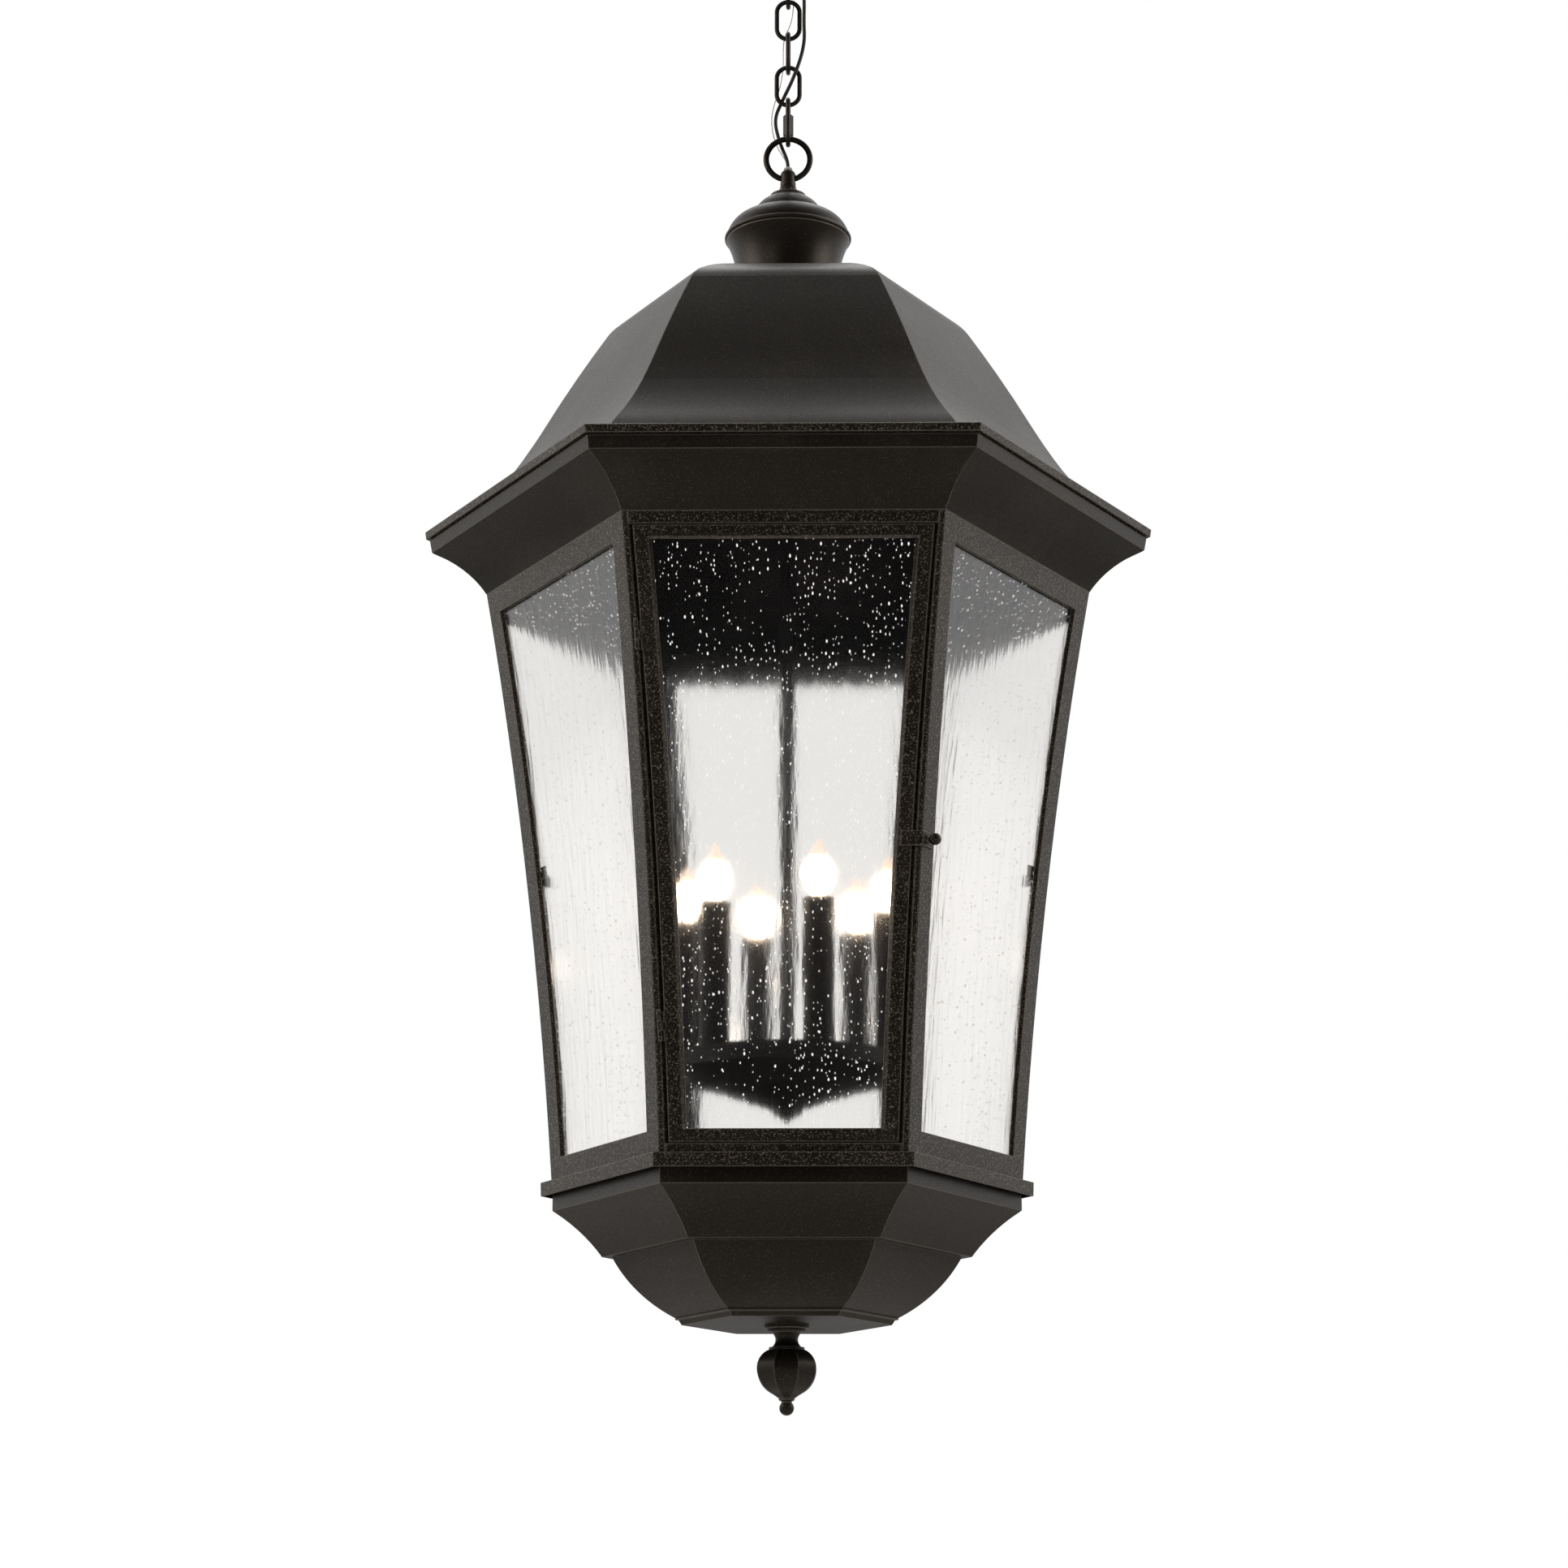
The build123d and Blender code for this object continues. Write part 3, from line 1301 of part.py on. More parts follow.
GROUND_ROUTE = [
    (0, 2.2, -2),
    (0.3, 2.1, -16),
    (0, 2.2, -30),
    (0, 2.2, -43),
    (2.6, 4.6, -49),
    (6.6, 5.6, -56),
    (8.0, 5.4, -66),
    (6.4, 4.6, -80),
    (6.2, 4.8, -96),
    (5.4, 6.4, -110),
    (2.6, 7.6, -124),
    (-4.6, 6.4, -139),
    (-6.0, 5.0, -156),
    (-5.6, 5.6, -174),
    (-7.6, 8.6, -192),
    (-11.4, 10.6, -208),
    (-16.6, 9.6, -224),
    (-19.4, 6.6, -240),
    (-19.0, 6.2, -254),
    (-16.2, 9.8, -266),
    (-12.4, 10.2, -277),
    (-6.8, 6.8, -288),
    (-1.6, 3.2, -298),
    (0, 2.3, -313),
]


def corner_radii(route):
    """The largest fitting arc at each corner of a route."""
    points = [Vector(*point) for point in route]
    radii = []
    for before, corner, after in zip(points, points[1:], points[2:]):
        run_in = corner - before
        run_out = after - corner
        half_turn = radians(run_in.get_angle(run_out)) / 2
        radii.append(0.45 * min(run_in.length, run_out.length) / tan(half_turn))
    return radii


def cord_tube(route, diameter, name):
    """A tube along the rounded route, with its radii and its volume printed."""
    radii = corner_radii(route)
    with BuildPart() as tube:
        with BuildLine() as path:
            FilletPolyline(*route, radius=radii)
        start = Plane(origin=path.line @ 0, z_dir=path.line % 0)
        with BuildSketch(start):
            Circle(diameter / 2)
        sweep(path=path.wire())
    expected = pi * diameter**2 / 4 * path.wire().length
    print(name, "length", round(path.wire().length, 1), "smallest radius", round(min(radii), 1))
    print(name, "volume", round(tube.part.volume), "section times length", round(expected))
    return tube.part


save(cord_tube(CORD_ROUTE, CORD_DIAMETER, "supply_cord"), "supply_cord")
save(cord_tube(GROUND_ROUTE, GROUND_DIAMETER, "ground_wire"), "ground_wire")
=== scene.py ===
"""A six-sided hanging lantern: its finishes, its cords and the studio that it hangs in."""

from math import cos, pi, radians, sin

import bmesh
import bpy
from mathutils import Matrix, Vector


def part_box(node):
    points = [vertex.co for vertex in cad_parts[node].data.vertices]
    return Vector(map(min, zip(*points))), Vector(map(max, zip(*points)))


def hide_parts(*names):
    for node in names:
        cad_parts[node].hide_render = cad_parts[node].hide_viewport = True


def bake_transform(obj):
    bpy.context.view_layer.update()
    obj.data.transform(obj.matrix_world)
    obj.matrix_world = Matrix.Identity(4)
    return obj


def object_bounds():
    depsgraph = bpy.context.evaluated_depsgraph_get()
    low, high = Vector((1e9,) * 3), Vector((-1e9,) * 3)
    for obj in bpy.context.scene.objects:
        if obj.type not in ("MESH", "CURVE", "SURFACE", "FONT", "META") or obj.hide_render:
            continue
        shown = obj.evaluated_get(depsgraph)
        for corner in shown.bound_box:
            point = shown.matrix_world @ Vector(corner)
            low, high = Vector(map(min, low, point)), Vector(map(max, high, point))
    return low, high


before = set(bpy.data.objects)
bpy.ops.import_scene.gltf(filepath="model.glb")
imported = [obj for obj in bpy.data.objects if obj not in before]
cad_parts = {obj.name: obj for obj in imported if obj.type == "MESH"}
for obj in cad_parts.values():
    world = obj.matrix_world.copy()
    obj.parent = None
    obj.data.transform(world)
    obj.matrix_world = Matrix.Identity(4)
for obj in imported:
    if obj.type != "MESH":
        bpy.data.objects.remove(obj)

cad_low, cad_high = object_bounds()
scene = bpy.context.scene
scene.view_settings.view_transform = "Standard"

# ---------------------------------------------------------------------------
# Camera
# A person stands in front of the door and looks up at the lantern, whose foot
# is a little over their eyes.
# ---------------------------------------------------------------------------
DOOR_TURN = radians(0.93)  # how far the lantern hangs turned on its chain
EYE_DISTANCE = 3.802
EYE_HEIGHT = cad_high.z - 2.0013
EYE_ASIDE = -0.0037
EYE_PITCH = radians(14.23)
EYE_ROLL = radians(0.08)
EYE_LENS = 81.9
EYE_SENSOR = 36

camera = bpy.data.objects.new("camera", bpy.data.cameras.new("camera"))
camera.data.lens = EYE_LENS
camera.data.sensor_width = EYE_SENSOR
camera.matrix_world = (
    Matrix.Rotation(DOOR_TURN, 4, "Z")
    @ Matrix.Translation((EYE_ASIDE, -EYE_DISTANCE, EYE_HEIGHT))
    @ Matrix.Rotation(pi / 2 + EYE_PITCH, 4, "X")
    @ Matrix.Rotation(EYE_ROLL, 4, "Z")
)
scene.collection.objects.link(camera)
scene.camera = camera

# ---------------------------------------------------------------------------
# Studio
# A white backdrop stands behind and beside the lantern, with a pale floor far
# below, and broad soft lamps in front, at both sides and above. The room in
# front is dim, so gloss that faces it stays dark.
# ---------------------------------------------------------------------------


class Shade:
    """A shader's socket. Arithmetic on it adds Math nodes, and node() adds any other kind."""

    def __init__(self, tree, socket=None):
        self.tree = tree
        self.socket = socket

    def node(self, kind, inputs=None, output=0, **settings):
        made = self.tree.nodes.new("ShaderNode" + kind)
        for name, setting in settings.items():
            setattr(made, name, setting)
        for name, given in (inputs or {}).items():
            if isinstance(given, Shade):
                self.tree.links.new(given.socket, made.inputs[name])
            else:
                made.inputs[name].default_value = given
        return Shade(self.tree, made.outputs[output] if made.outputs else None)

    def maths(self, operation, first, second=0.0):
        return self.node("Math", {0: first, 1: second}, operation=operation)

    def __add__(self, other):
        return self.maths("ADD", self, other)

    def __sub__(self, other):
        return self.maths("SUBTRACT", self, other)

    def __rsub__(self, other):
        return self.maths("SUBTRACT", other, self)

    def __mul__(self, other):
        return self.maths("MULTIPLY", self, other)

    def __gt__(self, other):
        return self.maths("GREATER_THAN", self, other)

    def __lt__(self, other):
        return self.maths("LESS_THAN", self, other)

    def __pow__(self, other):
        return self.maths("POWER", self, other)

    __radd__ = __add__
    __rmul__ = __mul__


def new_finish(name):
    """An empty material and the places on the piece that its patterns read."""
    material = bpy.data.materials.new(name)
    material.use_nodes = True
    material.node_tree.nodes.clear()
    place = Shade(material.node_tree).node("TexCoord", output="Object")
    return material, place


def close_finish(place, shader):
    place.node("OutputMaterial", {"Surface": shader})


def seen_straight(place):
    """1 on rays from the camera, and on those that pass glass without being mirrored in it."""
    seen = place.node("LightPath", output="Is Camera Ray")
    through = place.node("LightPath", output="Is Transmission Ray")
    straight = place.node("LightPath", output="Glossy Depth") < 0.5
    return place.maths("MAXIMUM", seen, through * straight)


ROOM_LIGHT = 0.2
DIM_ROOM = 0.035
BACKDROP_START = -0.35  # how far back a ray points, -1 to 1, where gloss begins to see white
BACKDROP_FULL = 0.3

world = bpy.data.worlds.new("studio")
scene.world = world
world.use_nodes = True
world.node_tree.nodes.clear()
rays = Shade(world.node_tree)
mirrored = rays.node("LightPath", output="Is Glossy Ray")
direction = rays.node("TexCoord", output="Generated")
backwards = direction.node("SeparateXYZ", {"Vector": direction}, "Y")
behind = backwards.node(
    "MapRange", {"Value": backwards, "From Min": BACKDROP_START, "From Max": BACKDROP_FULL}
)
backdrop = DIM_ROOM + (1 - DIM_ROOM) * behind
light = ROOM_LIGHT + mirrored * (backdrop - ROOM_LIGHT)
strength = light + seen_straight(rays) * (1 - light)
surround = rays.node("Background", {"Color": (1, 1, 1, 1), "Strength": strength})
rays.node("OutputWorld", {"Surface": surround})

FLOOR_DROP = 0.75  # under the lantern's lowest point
FLOOR_RADIUS = 30
FLOOR_PAINT = (0.9, 0.9, 0.9, 1)
FLOOR_WHITE = (0.97, 0.97, 0.965, 1)
floor_mesh = bpy.data.meshes.new("floor")
floor_shape = bmesh.new()
bmesh.ops.create_circle(floor_shape, cap_ends=True, segments=64, radius=FLOOR_RADIUS)
bmesh.ops.translate(floor_shape, verts=floor_shape.verts, vec=(0, 0, cad_low.z - FLOOR_DROP))
floor_shape.to_mesh(floor_mesh)
floor = bpy.data.objects.new("floor", floor_mesh)
scene.collection.objects.link(floor)
floor_paint, place = new_finish("floor_paint")
matt = place.node("BsdfPrincipled", {"Base Color": FLOOR_PAINT, "Roughness": 0.9})
pale = place.node("Emission", {"Color": FLOOR_WHITE, "Strength": 1.0})
close_finish(place, place.node("MixShader", {0: seen_straight(place), 1: matt, 2: pale}))
floor_mesh.materials.append(floor_paint)


def soft_lamp(name, azimuth, elevation, distance, size, power, tint=(1, 1, 1)):
    """A square area lamp that faces the middle of the lantern, that many degrees round
    from the door and up, with its distance and size in metres and its power in watts."""
    middle = (cad_low + cad_high) / 2
    lamp = bpy.data.lights.new(name, "AREA")
    lamp.energy = power
    lamp.size = size
    lamp.color = tint
    holder = bpy.data.objects.new(name, lamp)
    a, e = radians(azimuth), radians(elevation)
    away = Vector((sin(a) * cos(e), -cos(a) * cos(e), sin(e)))
    holder.location = middle + away * distance
    holder.rotation_euler = away.to_track_quat("Z", "Y").to_euler()
    scene.collection.objects.link(holder)


WARM = (1.0, 0.89, 0.79)
soft_lamp("front_lamp", -38, 22, 4.5, 1.6, 15, WARM)
soft_lamp("left_lamp", -80, 25, 3.5, 2.0, 40, WARM)
soft_lamp("right_lamp", 80, 25, 3.5, 2.0, 40, WARM)
soft_lamp("top_lamp", 180, 65, 3.5, 2.0, 20)

# ---------------------------------------------------------------------------
# Ceiling fitting
# A spun steel canopy, sprayed with dark bronze textured powder, hides a zinc
# plated crossbar on the ceiling box. The nipple, its nut and the collar hold
# the cast loop in the middle of the canopy.
# ---------------------------------------------------------------------------


def noise(place, size, detail=2.0, stretch=(1, 1, 1)):
    """Noise of about that grain size in metres, from 0 to 1."""
    scaled = place.node("Mapping", {"Vector": place, "Scale": stretch})
    return scaled.node(
        "TexNoise", {"Vector": scaled, "Scale": 1 / size, "Detail": detail}, noise_dimensions="3D"
    )


def blended(share, low, high):
    """A colour between two others."""
    return share.node("Mix", {"Factor": share, "A": low, "B": high}, "Result", data_type="RGBA")


def mottled(name, size, dark, pale, smooth, spread, detail=2.0, stretch=(1, 1, 1), fixed=None):
    """A material whose colour and roughness follow one noise of that grain size in metres."""
    material, place = new_finish(name)
    grains = noise(place, size, detail, stretch)
    varied = {"Base Color": blended(grains, dark, pale), "Roughness": smooth + spread * grains}
    close_finish(place, place.node("BsdfPrincipled", {**varied, **(fixed or {})}))
    return material


def coat(material, *nodes):
    """Gives the material to every slot of those pieces."""
    for node in nodes:
        for material_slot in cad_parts[node].material_slots:
            material_slot.material = material


COAT_DARK = (0.0094, 0.0072, 0.0050, 1)
COAT_PALE = (0.21, 0.19, 0.16, 1)
# Painted highlight: the pale colour laid along rounded edges.
COAT_EDGE_HIGHLIGHT = (0.30, 0.275, 0.235, 1)
COAT_TINT = (1.0, 0.92, 0.83, 1)  # of its shine
# Painted shade: faces that look in towards the lantern's axis get these dark, matt colours.
INSIDE_SHADE_DARK = (0.002, 0.0016, 0.0017, 1)
INSIDE_SHADE_PALE = (0.07, 0.05, 0.055, 1)
INSIDE_LEAN = -0.002  # metres from the axis times how far a face looks away from it
GRAIN = 0.0017
SPECK_START, SPECK_FULL = 0.54, 0.70  # of the grains' noise, where powder begins to show pale
CLOUD = 0.11  # across one drift of thicker or thinner powder
CLOUD_SHARE = 0.25
# Where the bevelled normal turns from the face, the edge gets the painted highlight.
EDGE_WIDTH = 0.0016
EDGE_START, EDGE_FULL = 0.01, 0.12  # of how far a rounded edge turns from its face


def powder_coat(name, speckle, roughness=0.4, grain_height=0.00012):
    """Baked powder, paler on its grains, with painted edge highlights and painted shade inside."""
    material, place = new_finish(name)
    grains = noise(place, GRAIN, 3.0)
    clouds = noise(place, CLOUD, 3.0)
    bevel = place.node("Bevel", {"Radius": EDGE_WIDTH}, samples=4)
    facing = place.node("NewGeometry", output="Normal")
    edge = 1 - place.node("VectorMath", {0: bevel, 1: facing}, "Value", operation="DOT_PRODUCT")
    specks = place.node(
        "MapRange", {"Value": grains, "From Min": SPECK_START, "From Max": SPECK_FULL}
    )
    # Painted highlight: how much of the edge colour a rounded edge gets.
    edge_highlight = place.node("MapRange", {"Value": edge, "From Min": EDGE_START, "From Max": EDGE_FULL})
    spray = specks * speckle + (clouds - 0.5) * CLOUD_SHARE
    bumps = place.node(
        "Bump", {"Height": grains, "Distance": grain_height, "Strength": 1.0, "Normal": bevel}
    )
    sprayed = place.node(
        "BsdfPrincipled",
        {
            "Base Color": blended(edge_highlight, blended(spray, COAT_DARK, COAT_PALE), COAT_EDGE_HIGHLIGHT),
            "Roughness": roughness + (clouds - 0.5) * 0.12 - specks * 0.1,
            "Specular IOR Level": 0.32,
            "Specular Tint": COAT_TINT,
            "Normal": bumps,
        },
    )
    # Painted shade: a dark, matt copy of the coat for faces inside the lantern, with its shine
    # turned down.
    shaded_inside = place.node(
        "BsdfPrincipled",
        {
            "Base Color": blended(clouds ** 3, INSIDE_SHADE_DARK, INSIDE_SHADE_PALE),
            "Roughness": 0.95,
            "Specular IOR Level": 0.05,
        },
    )
    outwards = place.node("VectorMath", {0: place, 1: (1, 1, 0)}, "Vector", operation="MULTIPLY")
    own_facing = place.node("TexCoord", output="Normal")  # turns with the piece, as its place does
    towards = place.node(
        "VectorMath", {0: outwards, 1: own_facing}, "Value", operation="DOT_PRODUCT"
    )
    close_finish(place, place.node("MixShader", {0: towards < INSIDE_LEAN, 1: sprayed, 2: shaded_inside}))
    return material


sheet_coat = powder_coat("black_powder_coat", 0.2)
zinc_steel = mottled(
    "zinc_steel", 0.003, (0.34, 0.35, 0.36, 1), (0.62, 0.62, 0.60, 1), 0.3, 0.25,
    detail=4.0, fixed={"Metallic": 1.0},
)
chain_enamel = powder_coat("chain_enamel", 0.2, roughness=0.34, grain_height=0.0001)
coat(sheet_coat, "ceiling_canopy")
coat(zinc_steel, "canopy_crossbar", "threaded_nipple", "nipple_locknut")
coat(chain_enamel, "collar_ring", "ceiling_loop")

# ---------------------------------------------------------------------------
# Chain
# Four welded steel links, a quick link with its sleeve nut, and the ring that
# carries the lantern, all in smooth black enamel.
# ---------------------------------------------------------------------------
coat(chain_enamel, "chain_link_1", "chain_link_2", "chain_link_3", "chain_link_4")
coat(chain_enamel, "quick_link", "quick_link_nut", "hanging_ring")

# ---------------------------------------------------------------------------
# Hub and round cap
# The cast hub holds the ring, and a white nylon bushing keeps its edge off the
# cord. Two spun domes and a spun bowl stand on the roof under it.
# ---------------------------------------------------------------------------
white_bushing = mottled(
    "white_bushing", 0.002, (0.70, 0.69, 0.65, 1), (0.84, 0.83, 0.80, 1), 0.35, 0.1,
    fixed={"Subsurface Weight": 0.15},
)
coat(white_bushing, "cord_bushing")
coat(sheet_coat, "top_hub", "cap_upper_dome", "cap_lower_dome", "cap_bowl")

# ---------------------------------------------------------------------------
# Roof and eave
# Six folded panels of sheet metal, welded along the hips, sit on the eave's
# lip, and a hollow cove carries the lip on the cage.
# ---------------------------------------------------------------------------
bar_coat = powder_coat("black_powder_coat_bars", 1.3, grain_height=0.0002)
coat(sheet_coat, "roof_shell", "eave_cove")
coat(bar_coat, "eave_lip")

# ---------------------------------------------------------------------------
# Cage
# Six angle posts and the rails between them, welded to a frame, with small
# spring clips that hold the fixed panes from inside.
# ---------------------------------------------------------------------------
coat(bar_coat, "post_front_left", "post_front_right", "post_right", "post_left")
coat(bar_coat, "post_back_right", "post_back_left", "head_rails", "foot_rails", "glass_clips")

# ---------------------------------------------------------------------------
# Seeded glass
# Five fixed panes behind the rails and one in the door, drawn so that faint
# ripples run down them, with small bubbles caught in rows.
# The bubbles are grey spots with a painted glint.
# ---------------------------------------------------------------------------
PANE_TINT = (0.965, 0.957, 0.945, 1)
DRAWN = 0.14  # the noise sees this share of the height, so ripples run down the pane
RIPPLE = 0.0026
RIPPLE_HEIGHT = 0.00006
SWELLS = 90.0  # to a metre
SWELL_HEIGHT = 0.00042
SWELL_PULL = 1.5  # how strongly bubbles gather on the swells
SEED_LEAST, SEED_SPREAD = 0.4, 1.2  # of a bubble's radius: the least, and what the widest adds
# Bubbles, large then small: the width and height of each one's cell, its radius as a
# share of them, and how seldom a cell holds one.
SEEDS = ((0.0078, 0.0125, 0.080, 1.44), (0.0044, 0.0080, 0.086, 1.49))


def seeded_glass(name, turn, glint):
    """Glass of a pane that faces that many degrees round from the door."""
    material, place = new_finish(name)
    c, s = cos(radians(turn)), sin(radians(turn))
    x, y, z = (place.node("SeparateXYZ", {"Vector": place}, axis) for axis in "XYZ")
    across = x * c + y * s
    depth = y * c - x * s
    drawn = place.node("CombineXYZ", {"X": across, "Y": z * DRAWN, "Z": depth})
    ripples = drawn.node("TexNoise", {"Vector": drawn, "Scale": 1 / RIPPLE, "Detail": 2.0})
    swells = drawn.node("TexNoise", {"Vector": drawn, "Scale": SWELLS, "Detail": 1.0})
    seeds = 0.0
    for column, row, radius, rarity in SEEDS:
        cells = place.node("CombineXYZ", {"X": across * (1 / column), "Y": z * (1 / row)})
        spots = {"Vector": cells, "Scale": 1.0, "Randomness": 1.0}
        near = cells.node("TexVoronoi", spots, "Distance", voronoi_dimensions="2D")
        kind = cells.node("TexVoronoi", spots, "Color", voronoi_dimensions="2D")
        chance = kind.node("SeparateColor", {"Color": kind}, "Red")
        size = kind.node("SeparateColor", {"Color": kind}, "Green")
        held = (chance + swells * SWELL_PULL) > rarity
        seeds = seeds + (near < (radius * (SEED_LEAST + SEED_SPREAD * size))) * held
    fine = place.node("Bump", {"Height": ripples, "Distance": RIPPLE_HEIGHT, "Strength": 1.0})
    wave = place.node(
        "Bump", {"Height": swells, "Distance": SWELL_HEIGHT, "Strength": 1.0, "Normal": fine}
    )
    clear = place.node(
        "BsdfPrincipled",
        {
            "Base Color": PANE_TINT,
            "Roughness": 0.12,
            "IOR": 1.45,
            "Transmission Weight": 1.0,
            "Normal": wave,
        },
    )
    # Painted glint: each bubble is an opaque grey spot that glows by glint.
    bubble = place.node(
        "BsdfPrincipled",
        {
            "Base Color": (0.3, 0.29, 0.28, 1),
            "Roughness": 0.2,
            "Emission Color": (1.0, 0.97, 0.93, 1),
            "Emission Strength": glint,
        },
    )
    pane = place.node("MixShader", {0: seeds, 1: clear, 2: bubble})
    lamp_ray = place.node("LightPath", output="Is Shadow Ray")
    open_way = place.node("BsdfTransparent", {"Color": (0.9, 0.9, 0.88, 1)})
    close_finish(place, place.node("MixShader", {0: lamp_ray, 1: pane, 2: open_way}))
    return material


# The front panes' bubbles get a stronger painted glint than the side panes' do.
coat(seeded_glass("seeded_glass_front", 0, 0.85), "glass_back", "door_glass")
coat(seeded_glass("seeded_glass_right", 60, 0.4), "glass_right", "glass_back_left")
coat(seeded_glass("seeded_glass_left", -60, 0.4), "glass_left", "glass_back_right")

# ---------------------------------------------------------------------------
# Door
# A welded frame of flat bar on two pinned hinges, closed by a bent strap and a
# ball-headed screw on the corner post.
# ---------------------------------------------------------------------------
coat(bar_coat, "door_frame", "post_hinge_leaves", "door_hinge_leaves", "hinge_pins")
coat(bar_coat, "latch_strap", "latch_screw")

# ---------------------------------------------------------------------------
# Tray, cup, bowl and finial
# Folded and welded sheet closes the foot of the cage, and a turned and faceted
# finial is drawn up to it by a zinc plated nut.
# ---------------------------------------------------------------------------
coat(bar_coat, "tray_plate")
coat(sheet_coat, "lower_cup", "lower_bowl", "bottom_plate", "finial_flange", "finial_bulb")
coat(zinc_steel, "finial_nut")

# ---------------------------------------------------------------------------
# Stem, pan and candle sleeves
# A steel tube hangs from the hub and carries the candle pan. The pan, its
# pressed cone and the candle sleeves are in smooth black enamel.
# ---------------------------------------------------------------------------
candle_black = mottled(
    "candle_black", 0.02, (0.0040, 0.0034, 0.0036, 1), (0.011, 0.0092, 0.0096, 1), 0.28, 0.15,
    detail=3.0, stretch=(1, 1, 0.2), fixed={"Specular IOR Level": 0.16},
)
coat(candle_black, "stem", "stem_nuts", "candle_pan", "pan_cone", "pan_finial")
coat(candle_black, "candle_cups", "candle_sleeves")

# ---------------------------------------------------------------------------
# Sockets and bulbs
# Black phenolic sockets stand inside the sleeves and hold six lit candle bulbs,
# brightest round the filament in the wide part of the glass.
# ---------------------------------------------------------------------------
socket_plastic = mottled(
    "socket_plastic", 0.004, (0.012, 0.010, 0.009, 1), (0.03, 0.026, 0.022, 1), 0.4, 0.2
)
coat(socket_plastic, "lamp_sockets")

lamps_low, lamps_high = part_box("bulbs")
GLOW_MIDDLE = lamps_low.z + 0.50 * (lamps_high.z - lamps_low.z)
GLOW_REACH = 0.026
GLOW_STRENGTH = 11.0
GLOW_DIM = (0.045, 0.028, 0.018, 1)
GLOW_HOT = (1.0, 0.80, 0.58, 1)

lamp_glass, place = new_finish("lamp_glass")
level = place.node("SeparateXYZ", {"Vector": place}, "Z")
offset = place.maths("ABSOLUTE", level - GLOW_MIDDLE) * (1 / GLOW_REACH)
heat = place.node("MapRange", {"Value": offset, "From Min": 1.0, "From Max": 0.35})
lit = place.node(
    "BsdfPrincipled",
    {
        "Base Color": (0.95, 0.92, 0.88, 1),
        "Roughness": 0.1,
        "Emission Color": blended(heat, GLOW_DIM, GLOW_HOT),
        "Emission Strength": GLOW_STRENGTH,
    },
)
close_finish(place, lit)
coat(lamp_glass, "bulbs")

# ---------------------------------------------------------------------------
# Cords
# The supply cord and the bare-looking ground wire in its clear jacket leave the
# ceiling loop, lace down through the links and enter the hub by its bushing.
# ---------------------------------------------------------------------------
MM = 0.001
CORD_DIAMETER = 0.0042
GROUND_DIAMETER = 0.0012
CORD_POINTS = [
    (0, -0.9, -2), (0.2, -0.8, -16), (0, -0.9, -30), (0, -0.9, -43), (2.0, -3.8, -50.9),
    (7.0, -8.4, -58.8), (13.2, -9.6, -68.5), (17.6, -6.6, -82), (18.8, -4.6, -102),
    (18.2, -4.2, -126), (19.0, -4.6, -146), (17.2, -5.6, -160), (14.4, -7.4, -173),
    (9.6, -8.2, -188), (3.2, -2.2, -202), (-4.6, 5.8, -215), (-10.6, 7.4, -228),
    (-14.0, 4.4, -239), (-14.9, 4.2, -250), (-12.6, 6.2, -261), (-9.6, 7.6, -271),
    (-6.6, 4.8, -281), (-2.6, 0.6, -292), (0.1, -0.8, -302), (0, -0.9, -313),
]
GROUND_POINTS = [
    (0, 2.2, -2), (0.3, 2.1, -16), (0, 2.2, -30), (0, 2.2, -43), (2.6, 4.6, -49),
    (6.6, 5.6, -56), (8.0, 5.4, -66), (6.4, 4.6, -80), (6.2, 4.8, -96), (5.4, 6.4, -110),
    (2.6, 7.6, -124), (-4.6, 6.4, -139), (-6.0, 5.0, -156), (-5.6, 5.6, -174),
    (-7.6, 8.6, -192), (-11.4, 10.6, -208), (-16.6, 9.6, -224), (-19.4, 6.6, -240),
    (-19.0, 6.2, -254), (-16.2, 9.8, -266), (-12.4, 10.2, -277), (-6.8, 6.8, -288),
    (-1.6, 3.2, -298), (0, 2.3, -313),
]
# Where one stretch of cord ends and the next begins: the middles of the links.
STRETCHES = [
    ("ceiling", "link_1", None, -80.1),
    ("link_1", "link_2", -80.1, -121.6),
    ("link_2", "link_3", -121.6, -163.1),
    ("link_3", "link_4", -163.1, -204.6),
    ("link_4", "quick_link", -204.6, -249.7),
    ("quick_link", "ring", -249.7, -280.5),
    ("ring", "lantern", -280.5, None),
]


def smooth_line(name, points):
    """A NURBS curve through the route, with those points as its control points."""
    line = bpy.data.curves.new(name, "CURVE")
    line.dimensions = "3D"
    line.resolution_u = 12
    spline = line.splines.new("NURBS")
    spline.points.add(len(points) - 1)
    for knot, (x, y, z) in zip(spline.points, points):
        knot.co = (x * MM, y * MM, z * MM, 1)
    spline.order_u = 3
    spline.use_endpoint_u = True
    return line


def read_line(line):
    """The points of a curve that has no bevel."""
    holder = bpy.data.objects.new("route", line)
    mesh = bpy.data.meshes.new_from_object(holder)
    places = [vertex.co.copy() for vertex in mesh.vertices]
    bpy.data.meshes.remove(mesh)
    bpy.data.objects.remove(holder)
    return places


def tube_mesh(name, points, radius):
    """A round tube along the route, closed at its ends."""
    line = smooth_line(name, points)
    line.bevel_depth = radius
    line.bevel_resolution = 4
    line.use_fill_caps = True
    holder = bpy.data.objects.new(name, line)
    mesh = bpy.data.meshes.new_from_object(holder)
    bpy.data.objects.remove(holder)
    return mesh


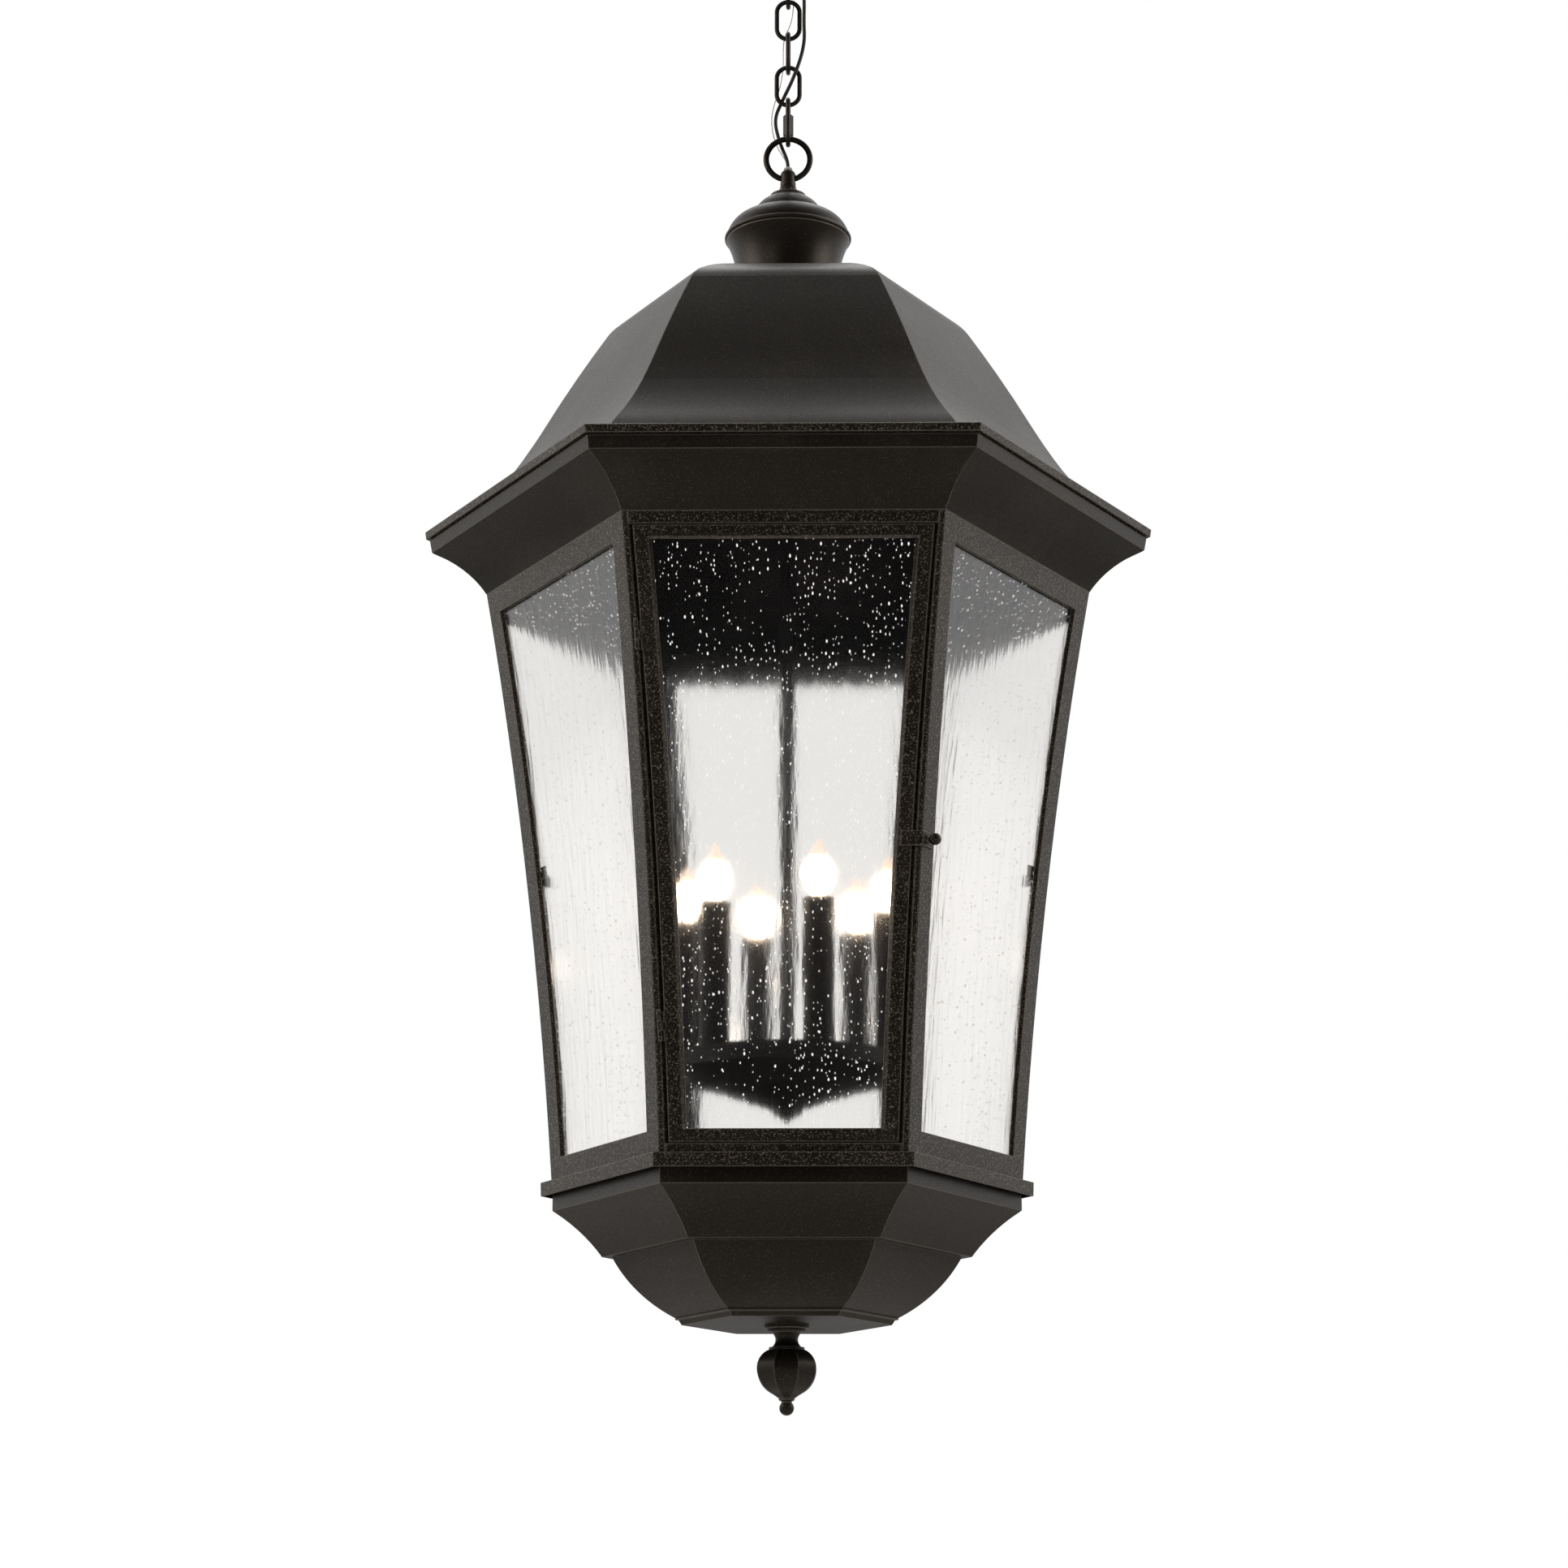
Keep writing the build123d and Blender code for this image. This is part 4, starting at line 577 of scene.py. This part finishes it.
def cut_between(whole, name, top, foot):
    """The stretch of a tube between two heights, with flat ends."""
    shape = bmesh.new()
    shape.from_mesh(whole)
    for height, keep_above in ((top, False), (foot, True)):
        if height is None:
            continue
        bmesh.ops.bisect_plane(
            shape,
            geom=[*shape.verts, *shape.edges, *shape.faces],
            plane_co=(0, 0, height * MM),
            plane_no=(0, 0, -1 if keep_above else 1),
            clear_outer=True,
        )
        bmesh.ops.holes_fill(shape, edges=[edge for edge in shape.edges if edge.is_boundary])
    mesh = bpy.data.meshes.new(name)
    shape.to_mesh(mesh)
    shape.free()
    for face in mesh.polygons:
        face.use_smooth = len(face.vertices) == 4
    return mesh


def trimmed(route, start, end):
    """The part of a falling route between two heights, cut where it crosses them."""
    kept = []
    for a, b in zip(route, route[1:]):
        for height in (start, end):
            if a.z > height > b.z:
                share = (a.z - height) / (a.z - b.z)
                kept.append(a.lerp(b, share))
        if start >= b.z >= end:
            kept.append(b)
    if start >= route[0].z:
        kept.insert(0, route[0])
    return kept


def lay_cord(name, points, diameter, material, node):
    """The cord in stretches, cut at the heights of the link middles in STRETCHES."""
    whole = tube_mesh(name, points, diameter / 2)
    route = read_line(smooth_line(name, points))
    for number, (upper, lower, top, foot) in enumerate(STRETCHES, 1):
        mesh = cut_between(whole, f"{name}_{number}", top, foot)
        mesh.materials.clear()
        mesh.materials.append(material)
        piece = bpy.data.objects.new(mesh.name, mesh)
        scene.collection.objects.link(piece)
        start = cad_high.z if top is None else top * MM
        end = cad_low.z if foot is None else foot * MM
        path = trimmed(route, start, end)
        length = sum((b - a).length for a, b in zip(path, path[1:]))
        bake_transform(piece)
        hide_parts(node)


cord_jacket = mottled(
    "cord_jacket", 0.0012, (0.012, 0.012, 0.012, 1), (0.03, 0.03, 0.029, 1), 0.34, 0.1
)
lay_cord(
    "supply_cord_run", CORD_POINTS, CORD_DIAMETER, cord_jacket, "supply_cord"
)

clear_jacket = mottled(
    "clear_jacket", 0.0012, (0.62, 0.61, 0.58, 1), (0.9, 0.9, 0.88, 1), 0.2, 0.1,
    stretch=(1, 1, 0.4), fixed={"Metallic": 0.2},
)
lay_cord(
    "ground_wire_run", GROUND_POINTS, GROUND_DIAMETER, clear_jacket, "ground_wire"
)
